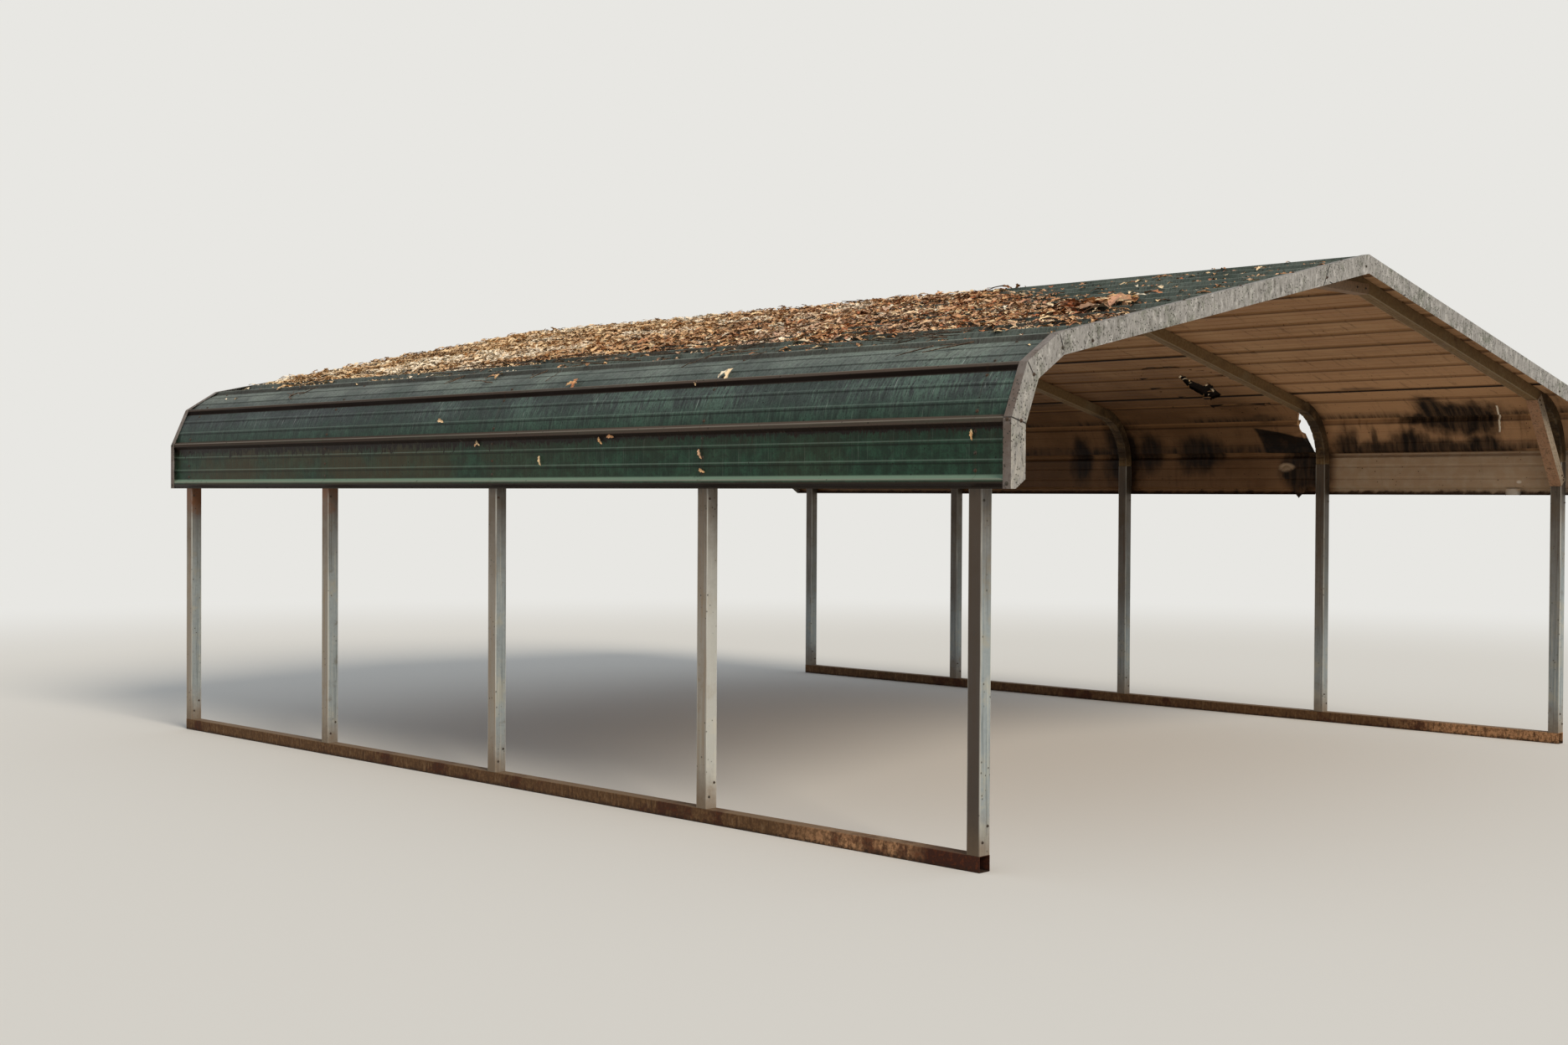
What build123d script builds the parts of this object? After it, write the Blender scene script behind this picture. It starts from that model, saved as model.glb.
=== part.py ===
from build123d import *
import os
from math import cos, hypot, radians, sin, tan

# Regular-style metal carport: a frame of square galvanised tube with ribbed sheets laid lengthwise
# over bows that bend down at the eaves. It is weathered, and one sheet is torn and dented.
# The frame of reference: origin on the ground at the centre of the plan, +X to the right seen from the
# front, +Y to the back, +Z up. All lengths are in millimetres.

# Driving dimensions of the whole
CARPORT_WIDTH = 5486.4
FRAME_LENGTH = 6096.0
ROOF_OVERHANG = 152.4
BENT_COUNT = 5
POST_TOP = 1650.0
ROOF_PITCH = 12.2

# Square tube of the frame
TUBE_SIZE = 63.5
TUBE_WALL = 2.1
TUBE_BEVEL = 2.2
NIPPLE_SIZE = 57.15
NIPPLE_LENGTH = 152.4
SWAGE_LENGTH = 150.0
SWAGE_SHOULDER = 12.0
SWAGE_CLEARANCE = 0.3
BOW_LEG = 20.0
BEND_RADIUS = 378.0
CRIMP_COUNT = 8
CRIMP_MOUTH = 18.0
CRIMP_FLOOR = 7.0
CRIMP_DEPTH = 3.5

# Braces, pressed from channel that straddles the tube
CHANNEL_WALL = 2.0
CHANNEL_CLEARANCE = 0.3
CHANNEL_DEPTH = 63.5
KNEE_BRACE_LENGTH = 600.0
KNEE_BRACE_ANGLE = 54.5
PEAK_BRACE_LENGTH = 600.0
PEAK_BRACE_DEPTH = 50.0

# Roll-formed roof sheet
SHEET_THICKNESS = 0.45
SHEET_SEAT = 0.3
RIB_SPACING = 228.6
RIB_HEIGHT = 19.0
RIB_BASE = 44.0
RIB_CREST = 16.0
MINOR_RIB_HEIGHT = 2.5
MINOR_RIB_BASE = 22.0
MINOR_RIB_CREST = 9.0
RIBS_PER_SHEET = 4
RIDGE_SHEET_RIBS = 2
EAVE_DROP = 185.0
EAVE_LIP = 28.0
LAP_CLEARANCE = 0.2
LAP_END = 3.0

# Folded angle trim on the two gable ends
TRIM_THICKNESS = 0.6
TRIM_FACE = 89.0
TRIM_FLANGE = 38.0
TRIM_CLEARANCE = 0.1
TRIM_BEVEL_WIDTH = 60.0
TRIM_BEVEL_HEIGHT = 36.0
TRIM_OVER_RIDGE = 300.0
TRIM_UNDER_RIDGE = 270.0

# Damage behind the second bow on the right. In each outline a corner is a distance behind that bow's rear
# face, and a distance down the roof from where the slope runs into the bend.
HOLE_OUTLINE = [
    (-22, 64), (10, 55), (34, 70), (48, 100), (93, 206), (120, 282), (117, 307),
    (80, 326), (60, 385), (38, 441), (14, 510), (-22, 516),
]
EAVE_SPLIT_OUTLINE = [(-6, 618), (7, 610), (9, 680), (28, 704), (44, 760), (-6, 760)]
SLIT_OUTLINE = [
    (419, -729), (416, -580), (404, -445), (335, -505), (382, -360), (415, -214),
    (485, -176), (606, -92), (548, -232), (532, -430), (464, -634),
]
DENT_DEPTH = 45.0
DENT_DEEPEST = 156.0
DENT_END = 456.0
DENT_SHAPE = [(306, 0.0), (394, 1.0), (470, 0.8), (600, 0.45), (760, 0.35)]
CUT_REACH = 60.0

# Worked out from the driving dimensions
HALF_WIDTH = CARPORT_WIDTH / 2
HALF_TUBE = TUBE_SIZE / 2
POST_X = HALF_WIDTH - HALF_TUBE
TUBE_BORE = TUBE_SIZE - 2 * TUBE_WALL
ROOF_LENGTH = FRAME_LENGTH + 2 * ROOF_OVERHANG
BENT_SPACING = (FRAME_LENGTH - TUBE_SIZE) / (BENT_COUNT - 1)
BENT_PLACES = [(index - (BENT_COUNT - 1) / 2) * BENT_SPACING for index in range(BENT_COUNT)]
BEND_START_HEIGHT = POST_TOP + BOW_LEG
PITCH_ANGLE = radians(ROOF_PITCH)
BEND_ANGLE = radians(90.0) - PITCH_ANGLE
BEND_CENTRE_X = HALF_WIDTH - BEND_RADIUS
BEND_INNER = BEND_RADIUS - TUBE_SIZE
SLOPE_RUN = BEND_CENTRE_X + BEND_RADIUS * cos(BEND_ANGLE)
SLOPE_LENGTH = SLOPE_RUN / cos(PITCH_ANGLE)
BEND_LENGTH = BEND_RADIUS * BEND_ANGLE
RIDGE_HEIGHT = BEND_START_HEIGHT + BEND_RADIUS * sin(BEND_ANGLE) + SLOPE_RUN * tan(PITCH_ANGLE)
RAFTER_UNDERSIDE = RIDGE_HEIGHT - TUBE_SIZE / cos(PITCH_ANGLE)
EAVE_RIB = round((SLOPE_LENGTH + BEND_LENGTH + EAVE_DROP) / RIB_SPACING)
SHEETS_PER_SIDE = (EAVE_RIB - RIDGE_SHEET_RIBS) // RIBS_PER_SHEET
FILLER_RIB = EAVE_RIB - SHEETS_PER_SIDE * RIBS_PER_SHEET
TORN_BOW_REAR = BENT_PLACES[1] + HALF_TUBE


def bend_point(radius, turn):
    """A point on the right-hand bend: turn is zero at the wall and grows towards the slope."""
    return BEND_CENTRE_X + radius * cos(turn), BEND_START_HEIGHT + radius * sin(turn)


def roof_point(along, out):
    """A point of the right half of the roof's cross-section: along is measured down from the ridge on the
    outer face of the bows, over the bend and down the wall, and out is the height above that face."""
    past_slope = along - SLOPE_LENGTH
    turn = min(max(BEND_ANGLE - past_slope / BEND_RADIUS, 0.0), BEND_ANGLE)
    reach = min(past_slope, 0.0) + max(past_slope - BEND_LENGTH, 0.0)
    across, height = bend_point(BEND_RADIUS + out, turn)
    return across + reach * sin(turn), height - reach * cos(turn)


def cross_point(along, out):
    """The same on both halves of the roof: along is negative to the left of the ridge."""
    across, height = roof_point(abs(along), out)
    return (across if along >= 0 else -across), height


def offset_line(points, distance):
    """The polyline moved sideways by a distance, to the left of its direction, with mitred corners."""
    moved = []
    for index, (x, y) in enumerate(points):
        normals = []
        for start in (index - 1, index):
            if 0 <= start < len(points) - 1:
                dx = points[start + 1][0] - points[start][0]
                dy = points[start + 1][1] - points[start][1]
                length = hypot(dx, dy)
                normals.append((-dy / length, dx / length))
        nx = sum(normal[0] for normal in normals) / len(normals)
        ny = sum(normal[1] for normal in normals) / len(normals)
        scale = distance / (nx * nx + ny * ny)
        moved.append((x + nx * scale, y + ny * scale))
    return moved


def lines_meet(first, second):
    """Where two lines cross, each given by two points."""
    (x1, y1), (x2, y2) = first
    (x3, y3), (x4, y4) = second
    bottom = (x1 - x2) * (y3 - y4) - (y1 - y2) * (x3 - x4)
    a = x1 * y2 - y1 * x2
    b = x3 * y4 - y3 * x4
    return ((a * (x3 - x4) - (x1 - x2) * b) / bottom, (a * (y3 - y4) - (y1 - y2) * b) / bottom)


def share_at(table, place):
    """The value between the rows of a table of places and values, held at both ends."""
    if place <= table[0][0]:
        return table[0][1]
    for (low, before), (high, after) in zip(table, table[1:]):
        if place <= high:
            return before + (after - before) * (place - low) / (high - low)
    return table[-1][1]


def along_y(face, start, end):
    """A flat face drawn in the XZ plane, made solid between two places along Y."""
    return extrude(Pos(0, start, 0) * face, amount=end - start, dir=(0, 1, 0))


def xz(point):
    return Vector(point[0], 0, point[1])


def polygon_xz(points):
    return make_face(Wire(Polyline(*[xz(point) for point in points], close=True).edges()))


def bend_arc(radius, start, end):
    return ThreePointArc(*[xz(bend_point(radius, turn)) for turn in (start, (start + end) / 2, end)])


def square(size, bevel=0.0):
    outline = Rectangle(size, size)
    return chamfer(outline.vertices(), bevel) if bevel else outline


def square_tube(size, length, bevel=0.0):
    """A square tube standing on the origin along Z."""
    return extrude(square(size, bevel) - square(size - 2 * TUBE_WALL), amount=length)


def base_rail(side):
    """A rail on the ground with the short square tubes welded to it that the posts slip over."""
    tube = square_tube(TUBE_SIZE, FRAME_LENGTH, TUBE_BEVEL)
    rail = Pos(0, FRAME_LENGTH / 2, HALF_TUBE) * Rot(90, 0, 0) * tube
    nipple = square_tube(NIPPLE_SIZE, NIPPLE_LENGTH)
    for place in BENT_PLACES:
        rail = rail + Pos(0, place, TUBE_SIZE) * nipple
    return Pos(side * POST_X, 0, 0) * rail


def post(side, place):
    tube = square_tube(TUBE_SIZE, POST_TOP - TUBE_SIZE, TUBE_BEVEL)
    return Pos(side * POST_X, place, TUBE_SIZE) * tube


def crimped_bend(inset):
    """The inner side of the bend from its upper to its lower end, with the row of crimps that the bending
    press leaves across it."""
    radius = BEND_INNER + inset
    edges = []
    start = BEND_ANGLE
    for index in reversed(range(CRIMP_COUNT)):
        middle = (index + 0.5) * BEND_ANGLE / CRIMP_COUNT
        mouth = CRIMP_MOUTH / 2 / radius
        floor = CRIMP_FLOOR / 2 / radius
        crimp = [
            bend_point(radius, middle + mouth),
            bend_point(radius + CRIMP_DEPTH, middle + floor),
            bend_point(radius + CRIMP_DEPTH, middle - floor),
            bend_point(radius, middle - mouth),
        ]
        edges.append(bend_arc(radius, start, middle + mouth))
        edges += [Line(xz(a), xz(b)) for a, b in zip(crimp, crimp[1:])]
        start = middle - mouth
    edges.append(bend_arc(radius, start, 0.0))
    return edges


def bow_band(inset):
    """The bow's side view on the right half, from the swage's shoulder to the ridge, inset on both faces."""
    low = POST_TOP + SWAGE_SHOULDER
    outer = BEND_RADIUS - inset
    outer_foot = (HALF_WIDTH - inset, low)
    inner_foot = (HALF_WIDTH - TUBE_SIZE + inset, low)
    outer_ridge = (0.0, RIDGE_HEIGHT - inset / cos(PITCH_ANGLE))
    inner_ridge = (0.0, RAFTER_UNDERSIDE + inset / cos(PITCH_ANGLE))
    edges = [
        Line(xz(outer_foot), xz(bend_point(outer, 0.0))),
        bend_arc(outer, 0.0, BEND_ANGLE),
        Line(xz(bend_point(outer, BEND_ANGLE)), xz(outer_ridge)),
        Line(xz(outer_ridge), xz(inner_ridge)),
        Line(xz(inner_ridge), xz(bend_point(BEND_INNER + inset, BEND_ANGLE))),
    ]
    edges += crimped_bend(inset)
    edges.append(Line(xz(bend_point(BEND_INNER + inset, 0.0)), xz(inner_foot)))
    edges.append(Line(xz(inner_foot), xz(outer_foot)))
    return make_face(Wire(edges))


def swage(size, full_size, bevel=0.0):
    """The lower end of a bow's outside, or of its bore: a neck with a shoulder above it."""
    neck_top = Pos(POST_X, 0, POST_TOP) * square(size, bevel)
    shoulder_top = Pos(POST_X, 0, POST_TOP + SWAGE_SHOULDER) * square(full_size, bevel)
    return extrude(neck_top, amount=-SWAGE_LENGTH) + loft([neck_top, shoulder_top])


def half_bow():
    """The right half of a bow at Y = 0: bent tube with a lower end swaged to slip into the post."""
    middle = HALF_TUBE - TUBE_BEVEL
    outside = loft([
        Pos(0, -HALF_TUBE, 0) * bow_band(TUBE_BEVEL),
        Pos(0, -middle, 0) * bow_band(0.0),
        Pos(0, middle, 0) * bow_band(0.0),
        Pos(0, HALF_TUBE, 0) * bow_band(TUBE_BEVEL),
    ], ruled=True)
    bore = along_y(bow_band(TUBE_WALL), -TUBE_BORE / 2, TUBE_BORE / 2)
    neck_size = TUBE_BORE - 2 * SWAGE_CLEARANCE
    neck = swage(neck_size, TUBE_SIZE, TUBE_BEVEL)
    neck_bore = swage(neck_size - 2 * TUBE_WALL, TUBE_BORE)
    return (outside + neck) - (bore + neck_bore)


def channel_brace(side_view, hollow_view):
    """A brace of channel: two side plates of the given outline, joined by a web along one edge."""
    inner = HALF_TUBE + CHANNEL_CLEARANCE
    outer = inner + CHANNEL_WALL
    return along_y(side_view, -outer, outer) - along_y(hollow_view, -inner, inner)


def knee_brace():
    """The front view of the right-hand knee brace: its web faces the bay, with its foot against the post
    and its head under the rafter, and its side plates lie over the tubes."""
    angle = radians(KNEE_BRACE_ANGLE)
    up = (-cos(angle), sin(angle))
    out = (sin(angle), cos(angle))
    foot_x = HALF_WIDTH - TUBE_SIZE - CHANNEL_CLEARANCE - out[0] * CHANNEL_WALL
    head_x = foot_x + up[0] * KNEE_BRACE_LENGTH + out[0] * CHANNEL_WALL
    head_z = RAFTER_UNDERSIDE - head_x * tan(PITCH_ANGLE) - CHANNEL_CLEARANCE
    foot_z = head_z - up[1] * KNEE_BRACE_LENGTH - out[1] * CHANNEL_WALL

    def place(along, depth):
        return (foot_x + up[0] * along + out[0] * depth, foot_z + up[1] * along + out[1] * depth)

    def box(low, high, near, far):
        return polygon_xz([place(low, near), place(high, near), place(high, far), place(low, far)])

    over = CHANNEL_WALL
    plates = box(0, KNEE_BRACE_LENGTH, 0, CHANNEL_DEPTH)
    hollow = box(-over, KNEE_BRACE_LENGTH + over, CHANNEL_WALL, CHANNEL_DEPTH + over)
    return channel_brace(plates, hollow)


def peak_brace():
    """The channel that ties the two halves of a bow together under the ridge."""
    half = PEAK_BRACE_LENGTH / 2
    top = RAFTER_UNDERSIDE - half * tan(PITCH_ANGLE) - CHANNEL_CLEARANCE
    bottom = top - CHANNEL_WALL
    high = bottom + PEAK_BRACE_DEPTH
    outline = [(-half, bottom), (half, bottom), (half, high), (-half, high)]
    over = CHANNEL_WALL
    far = half + over
    hollow = [(-far, top), (far, top), (far, high + over), (-far, high + over)]
    return channel_brace(polygon_xz(outline), polygon_xz(hollow))


def plain_rib(centre):
    """The corners of a rib from its uphill foot to its downhill foot."""
    return [
        (centre - RIB_BASE / 2, 0.0),
        (centre - RIB_CREST / 2, RIB_HEIGHT),
        (centre + RIB_CREST / 2, RIB_HEIGHT),
        (centre + RIB_BASE / 2, 0.0),
    ]


def minor_ribs(start):
    """The two low stiffening ribs between a rib and the next one downhill."""
    corners = []
    for share in (1 / 3, 2 / 3):
        centre = start + share * RIB_SPACING
        corners += [
            (centre - MINOR_RIB_BASE / 2, 0.0),
            (centre - MINOR_RIB_CREST / 2, MINOR_RIB_HEIGHT),
            (centre + MINOR_RIB_CREST / 2, MINOR_RIB_HEIGHT),
            (centre + MINOR_RIB_BASE / 2, 0.0),
        ]
    return corners


def covering_rib(centre):
    """A rib large enough to lie over the neighbouring sheet's rib."""
    lift = SHEET_THICKNESS + LAP_CLEARANCE
    lean = (RIB_BASE - RIB_CREST) / 2
    slant = hypot(lean, RIB_HEIGHT)
    foot = RIB_BASE / 2 + lift * slant / RIB_HEIGHT
    crest = RIB_CREST / 2 + lift * (slant - lean) / RIB_HEIGHT
    high = RIB_HEIGHT + lift
    return [(centre - foot, 0.0), (centre - crest, high), (centre + crest, high), (centre + foot, 0.0)]


def shorten_last(points, height):
    """The line with its last slanted leg cut off at a height above the flat."""
    (x1, y1), (x2, y2) = points[-2], points[-1]
    share = (y1 - height) / (y1 - y2)
    return points[:-1] + [(x1 + (x2 - x1) * share, height)]


def side_profile(first, last):
    """The corners of a sheet between two ribs, which are counted from the ridge. Its first rib lies under
    the next sheet uphill, and its last one covers the next sheet downhill or ends in the eave's lip."""
    centre = first * RIB_SPACING
    corners = [(2 * centre - x, y) for x, y in shorten_last(plain_rib(centre), LAP_END)][::-1]
    for rib in range(first, last):
        corners += minor_ribs(rib * RIB_SPACING)
        centre = (rib + 1) * RIB_SPACING
        if rib + 1 < last:
            corners += plain_rib(centre)
        elif last == EAVE_RIB:
            corners += plain_rib(centre) + [(centre + EAVE_LIP, 0.0)]
        else:
            corners += shorten_last(covering_rib(centre), LAP_END)
    return corners


def ridge_profile():
    """The corners of the sheet that is bent over the ridge, from its left edge to its right edge."""
    right = [(x, y) for x, y in plain_rib(0.0) if x > 0]
    for rib in range(RIDGE_SHEET_RIBS):
        right += minor_ribs(rib * RIB_SPACING)
        centre = (rib + 1) * RIB_SPACING
        is_last = rib + 1 == RIDGE_SHEET_RIBS
        right += shorten_last(covering_rib(centre), LAP_END) if is_last else plain_rib(centre)
    left = [(-x, y) for x, y in right][::-1]
    return left + right


def with_tangent_points(corners):
    """The corners with a point added wherever a flat runs from the slope into the bend or into the wall."""
    result = [corners[0]]
    for start, end in zip(corners, corners[1:]):
        for limit in (SLOPE_LENGTH, SLOPE_LENGTH + BEND_LENGTH):
            if start[0] < limit < end[0]:
                share = (limit - start[0]) / (end[0] - start[0])
                result.append((limit, start[1] + (end[1] - start[1]) * share))
        result.append(end)
    return result


def sheet_side(line):
    """The edges of one face of a sheet in the XZ plane, curved where a level flat lies in the bend."""
    edges = []
    for (a, height_a), (b, height_b) in zip(line, line[1:]):
        middle = (a + b) / 2
        in_bend = SLOPE_LENGTH < abs(middle) < SLOPE_LENGTH + BEND_LENGTH
        is_level = abs(height_a - height_b) < SHEET_THICKNESS / 100
        start, end = xz(cross_point(a, height_a)), xz(cross_point(b, height_b))
        if in_bend and is_level:
            edges.append(ThreePointArc(start, xz(cross_point(middle, height_a)), end))
        else:
            edges.append(Line(start, end))
    return edges


def sheet_section(profile, dent=0.0):
    """A sheet's section of one thickness, seated on the bows, or pushed in by a dent."""
    seated = []
    for along, height in with_tangent_points(profile):
        push = dent * share_at(DENT_SHAPE, along - SLOPE_LENGTH) if dent else 0.0
        seated.append((along, height + SHEET_SEAT - push))
    upper = offset_line(seated, SHEET_THICKNESS)
    far_end = Line(xz(cross_point(*seated[-1])), xz(cross_point(*upper[-1])))
    near_end = Line(xz(cross_point(*upper[0])), xz(cross_point(*seated[0])))
    return make_face(Wire(sheet_side(seated) + [far_end] + sheet_side(upper) + [near_end]))


def sheet(profile):
    return along_y(sheet_section(profile), -ROOF_LENGTH / 2, ROOF_LENGTH / 2)


def dented_sheet(profile):
    """The eave sheet on the right: it is pushed in behind the second bow, deepest a little way past it."""
    flat = sheet_section(profile)
    deep = sheet_section(profile, DENT_DEPTH)
    dent_end = TORN_BOW_REAR + DENT_END
    dent = loft([
        Pos(0, TORN_BOW_REAR, 0) * flat,
        Pos(0, TORN_BOW_REAR + DENT_DEEPEST, 0) * deep,
        Pos(0, dent_end, 0) * flat,
    ], ruled=True)
    front = along_y(flat, -ROOF_LENGTH / 2, TORN_BOW_REAR)
    rear = along_y(flat, dent_end, ROOF_LENGTH / 2)
    return front + dent + rear


def wall_cut(outline):
    """A tear through the bend and the wall strip, cut straight through from the side."""
    start = BEND_CENTRE_X
    corners = []
    for behind, down in outline:
        height = roof_point(SLOPE_LENGTH + down, 0.0)[1]
        corners.append(Vector(start, TORN_BOW_REAR + behind, height))
    face = make_face(Wire(Polyline(*corners, close=True).edges()))
    return extrude(face, amount=BEND_RADIUS + CUT_REACH, dir=(1, 0, 0))


def slope_cut(outline):
    """A tear through the slope, cut square to the roof."""
    corners = []
    for behind, down in outline:
        across, height = roof_point(SLOPE_LENGTH + down, -CUT_REACH)
        corners.append(Vector(across, TORN_BOW_REAR + behind, height))
    face = make_face(Wire(Polyline(*corners, close=True).edges()))
    return extrude(face, amount=2 * CUT_REACH, dir=(sin(PITCH_ANGLE), 0, cos(PITCH_ANGLE)))


def trim_line(lift):
    """The inner line of the trim on the right half, from the eave to the ridge: it rests on the ribs'
    crests, and is snipped and bent at each rib of the bend."""
    crest = SHEET_SEAT + RIB_HEIGHT + 2 * SHEET_THICKNESS + LAP_CLEARANCE + lift
    half_crest = RIB_CREST / 2 + SHEET_THICKNESS + LAP_CLEARANCE

    def crest_corner(rib, sign):
        return roof_point(rib * RIB_SPACING + sign * half_crest, crest)

    bend_end = SLOPE_LENGTH + BEND_LENGTH
    bend_ribs = [rib for rib in range(EAVE_RIB) if SLOPE_LENGTH < rib * RIB_SPACING < bend_end]
    wall_x = max(crest_corner(rib, 1)[0] for rib in bend_ribs + [EAVE_RIB])
    eave_z = roof_point(EAVE_RIB * RIB_SPACING + EAVE_LIP, 0)[1]
    lines = [((wall_x, eave_z), (wall_x, BEND_START_HEIGHT))]
    for high, low in reversed(list(zip(bend_ribs, bend_ribs[1:]))):
        lines.append((crest_corner(low, -1), crest_corner(high, 1)))
    lines.append((roof_point(SLOPE_LENGTH / 2, crest), roof_point(0, crest)))
    lines.append(((0, 0), (0, RIDGE_HEIGHT)))
    return [lines[0][0]] + [lines_meet(first, second) for first, second in zip(lines, lines[1:])]


def past_ridge(points, reach):
    """The trim's line carried over the ridge, or stopped short of it, at a distance across."""
    ridge = points[-1]
    before = points[-2]
    slope = (ridge[1] - before[1]) / (before[0] - ridge[0])
    if reach < 0:
        return points + [(reach, ridge[1] + reach * slope)]
    return points[:-1] + [(reach, ridge[1] - reach * slope)]


def trim(lift, reach, face_y):
    """One folded angle: a flange over the crests and a face that hangs over the sheets' ends. At a knee the
    face of the upper length laps over the lower one, so it stands one thickness further out."""
    line = trim_line(lift)
    knees = len(line) - 2
    inner = past_ridge(line, reach)
    outer = offset_line(inner, -TRIM_THICKNESS)
    angle = None
    for level in range(knees + 1):
        stop = level + 2 if level < knees else len(inner)
        fold = outer[level:stop]
        face_line = fold + offset_line(fold, TRIM_FACE)[::-1]
        if level == 0:
            x, z = face_line[-1]
            face_line = face_line[:-1] + [(x, z + TRIM_BEVEL_HEIGHT), (x + TRIM_BEVEL_WIDTH, z)]
        front = face_y - level * TRIM_THICKNESS
        face = along_y(polygon_xz(face_line), front, front + TRIM_THICKNESS)
        flange = along_y(polygon_xz(fold + inner[level:stop][::-1]), front, face_y + TRIM_FLANGE)
        angle = face + flange if angle is None else angle + face + flange
    return angle


def write(name, shape):
    """One file per piece of the carport."""
    solids = shape.solids()
    export_step(Compound(solids) if len(solids) > 1 else solids[0], f"parts/{name}.step")
    print(name, len(solids), round(sum(solid.volume for solid in solids)))


os.makedirs("parts", exist_ok=True)

for side_name, side in (("left", -1), ("right", 1)):
    write(f"base_rail_{side_name}", base_rail(side))
    for number, place in enumerate(BENT_PLACES, start=1):
        write(f"post_{side_name}_{number}", post(side, place))

right_bow = half_bow()
left_bow = right_bow.mirror(Plane.YZ)
tie = peak_brace()
for number, place in enumerate(BENT_PLACES, start=1):
    write(f"bow_right_{number}", Pos(0, place, 0) * right_bow)
    write(f"bow_left_{number}", Pos(0, place, 0) * left_bow)
    write(f"peak_brace_{number}", Pos(0, place, 0) * tie)

right_brace = knee_brace()
left_brace = right_brace.mirror(Plane.YZ)
for end_name, place in (("front", BENT_PLACES[0]), ("rear", BENT_PLACES[-1])):
    write(f"knee_brace_{end_name}_right", Pos(0, place, 0) * right_brace)
    write(f"knee_brace_{end_name}_left", Pos(0, place, 0) * left_brace)

tears = wall_cut(HOLE_OUTLINE) + wall_cut(EAVE_SPLIT_OUTLINE) + slope_cut(SLIT_OUTLINE)
for number in range(1, SHEETS_PER_SIDE + 1):
    last = EAVE_RIB - (number - 1) * RIBS_PER_SHEET
    profile = side_profile(last - RIBS_PER_SHEET, last)
    whole_sheet = sheet(profile)
    worn_sheet = dented_sheet(profile) if number == 1 else whole_sheet
    write(f"roof_sheet_right_{number}", worn_sheet - tears)
    write(f"roof_sheet_left_{number}", whole_sheet.mirror(Plane.YZ))
write("roof_sheet_ridge", sheet(ridge_profile()))

# At some widths the full sheets leave a narrow strip beside the one over the ridge
if FILLER_RIB > RIDGE_SHEET_RIBS:
    filler = sheet(side_profile(RIDGE_SHEET_RIBS, FILLER_RIB))
    write("roof_filler_right", filler - tears)
    write("roof_filler_left", filler.mirror(Plane.YZ))

under_face = -ROOF_LENGTH / 2 - TRIM_CLEARANCE - TRIM_THICKNESS
over_face = under_face - TRIM_CLEARANCE - TRIM_THICKNESS
over_trim = trim(2 * TRIM_CLEARANCE + TRIM_THICKNESS, -TRIM_OVER_RIDGE, over_face)
under_trim = trim(TRIM_CLEARANCE, TRIM_UNDER_RIDGE, under_face).mirror(Plane.YZ)
write("trim_front_right", over_trim)
write("trim_front_left", under_trim)
write("trim_rear_left", Rot(0, 0, 180) * over_trim)
write("trim_rear_right", Rot(0, 0, 180) * under_trim)
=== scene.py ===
# %% [markdown]
# # A weathered steel carport
# This notebook dresses the solids of a small steel carport: square tube legs and bent rafters under ribbed
# roof sheets. The solids come from the frame and keep their shape. What is added here is what the eye looks
# for on an old one: faded paint, mouldy primer, patina on zinc, rust, screws, torn sheet and leaves.

# %% Load the carport's solids
import bpy
from math import cos, pi, radians, sin
from mathutils import Matrix, Vector, noise


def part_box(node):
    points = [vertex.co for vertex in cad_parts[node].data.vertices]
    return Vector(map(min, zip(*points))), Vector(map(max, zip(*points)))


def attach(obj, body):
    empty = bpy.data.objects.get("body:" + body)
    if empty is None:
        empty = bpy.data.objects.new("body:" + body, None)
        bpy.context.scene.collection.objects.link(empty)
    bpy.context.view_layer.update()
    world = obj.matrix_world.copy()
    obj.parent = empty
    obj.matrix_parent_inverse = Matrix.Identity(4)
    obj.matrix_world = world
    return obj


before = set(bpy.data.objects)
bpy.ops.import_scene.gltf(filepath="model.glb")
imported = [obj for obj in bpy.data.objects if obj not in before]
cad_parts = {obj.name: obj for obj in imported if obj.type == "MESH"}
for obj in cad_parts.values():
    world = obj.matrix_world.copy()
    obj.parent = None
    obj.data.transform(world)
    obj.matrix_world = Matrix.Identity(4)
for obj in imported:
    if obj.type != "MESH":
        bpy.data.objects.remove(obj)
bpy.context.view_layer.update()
print("solids:", len(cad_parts))

# %% [markdown]
# ## The roof's line
# Everything that lies on the roof is placed by its distance down the sheet, measured from the ridge. The
# line has three runs: a straight slope, a round bend and a short upright wall strip. The sizes are the
# frame's own, in metres, so a screw or a leaf that is placed by this line touches the sheet.

# %% Sizes of the frame and the roof line
HALF_WIDTH = 2.7432
FRAME_LENGTH = 6.096
ROOF_HALF_LENGTH = 3.2004
BEND_START = 1.670
BEND_RADIUS = 0.378
BEND_CENTRE = HALF_WIDTH - BEND_RADIUS
PITCH = radians(12.2)
BEND_ANGLE = pi / 2 - PITCH
SLOPE_END = Vector((BEND_CENTRE + BEND_RADIUS * cos(BEND_ANGLE), 0,
                    BEND_START + BEND_RADIUS * sin(BEND_ANGLE)))
SLOPE_LENGTH = SLOPE_END.x / cos(PITCH)
BEND_LENGTH = BEND_RADIUS * BEND_ANGLE
RIDGE_HEIGHT = SLOPE_END.z + SLOPE_LENGTH * sin(PITCH)
TUBE = 0.0635
SHEET_TOP = 0.00075
RIB_SPACING = 0.2286
RIB_HEIGHT = 0.019
# Each half has thirteen whole ribs, counted from the ridge, and half a rib at the eave
FULL_RIBS = 13
EAVE_RIB = 14
LAP_RIBS = (2, 6, 10)
BOWS = 5
BOW_SPACING = (FRAME_LENGTH - TUBE) / (BOWS - 1)
BOW_PLACES = [(number - 2) * BOW_SPACING for number in range(BOWS)]


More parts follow.
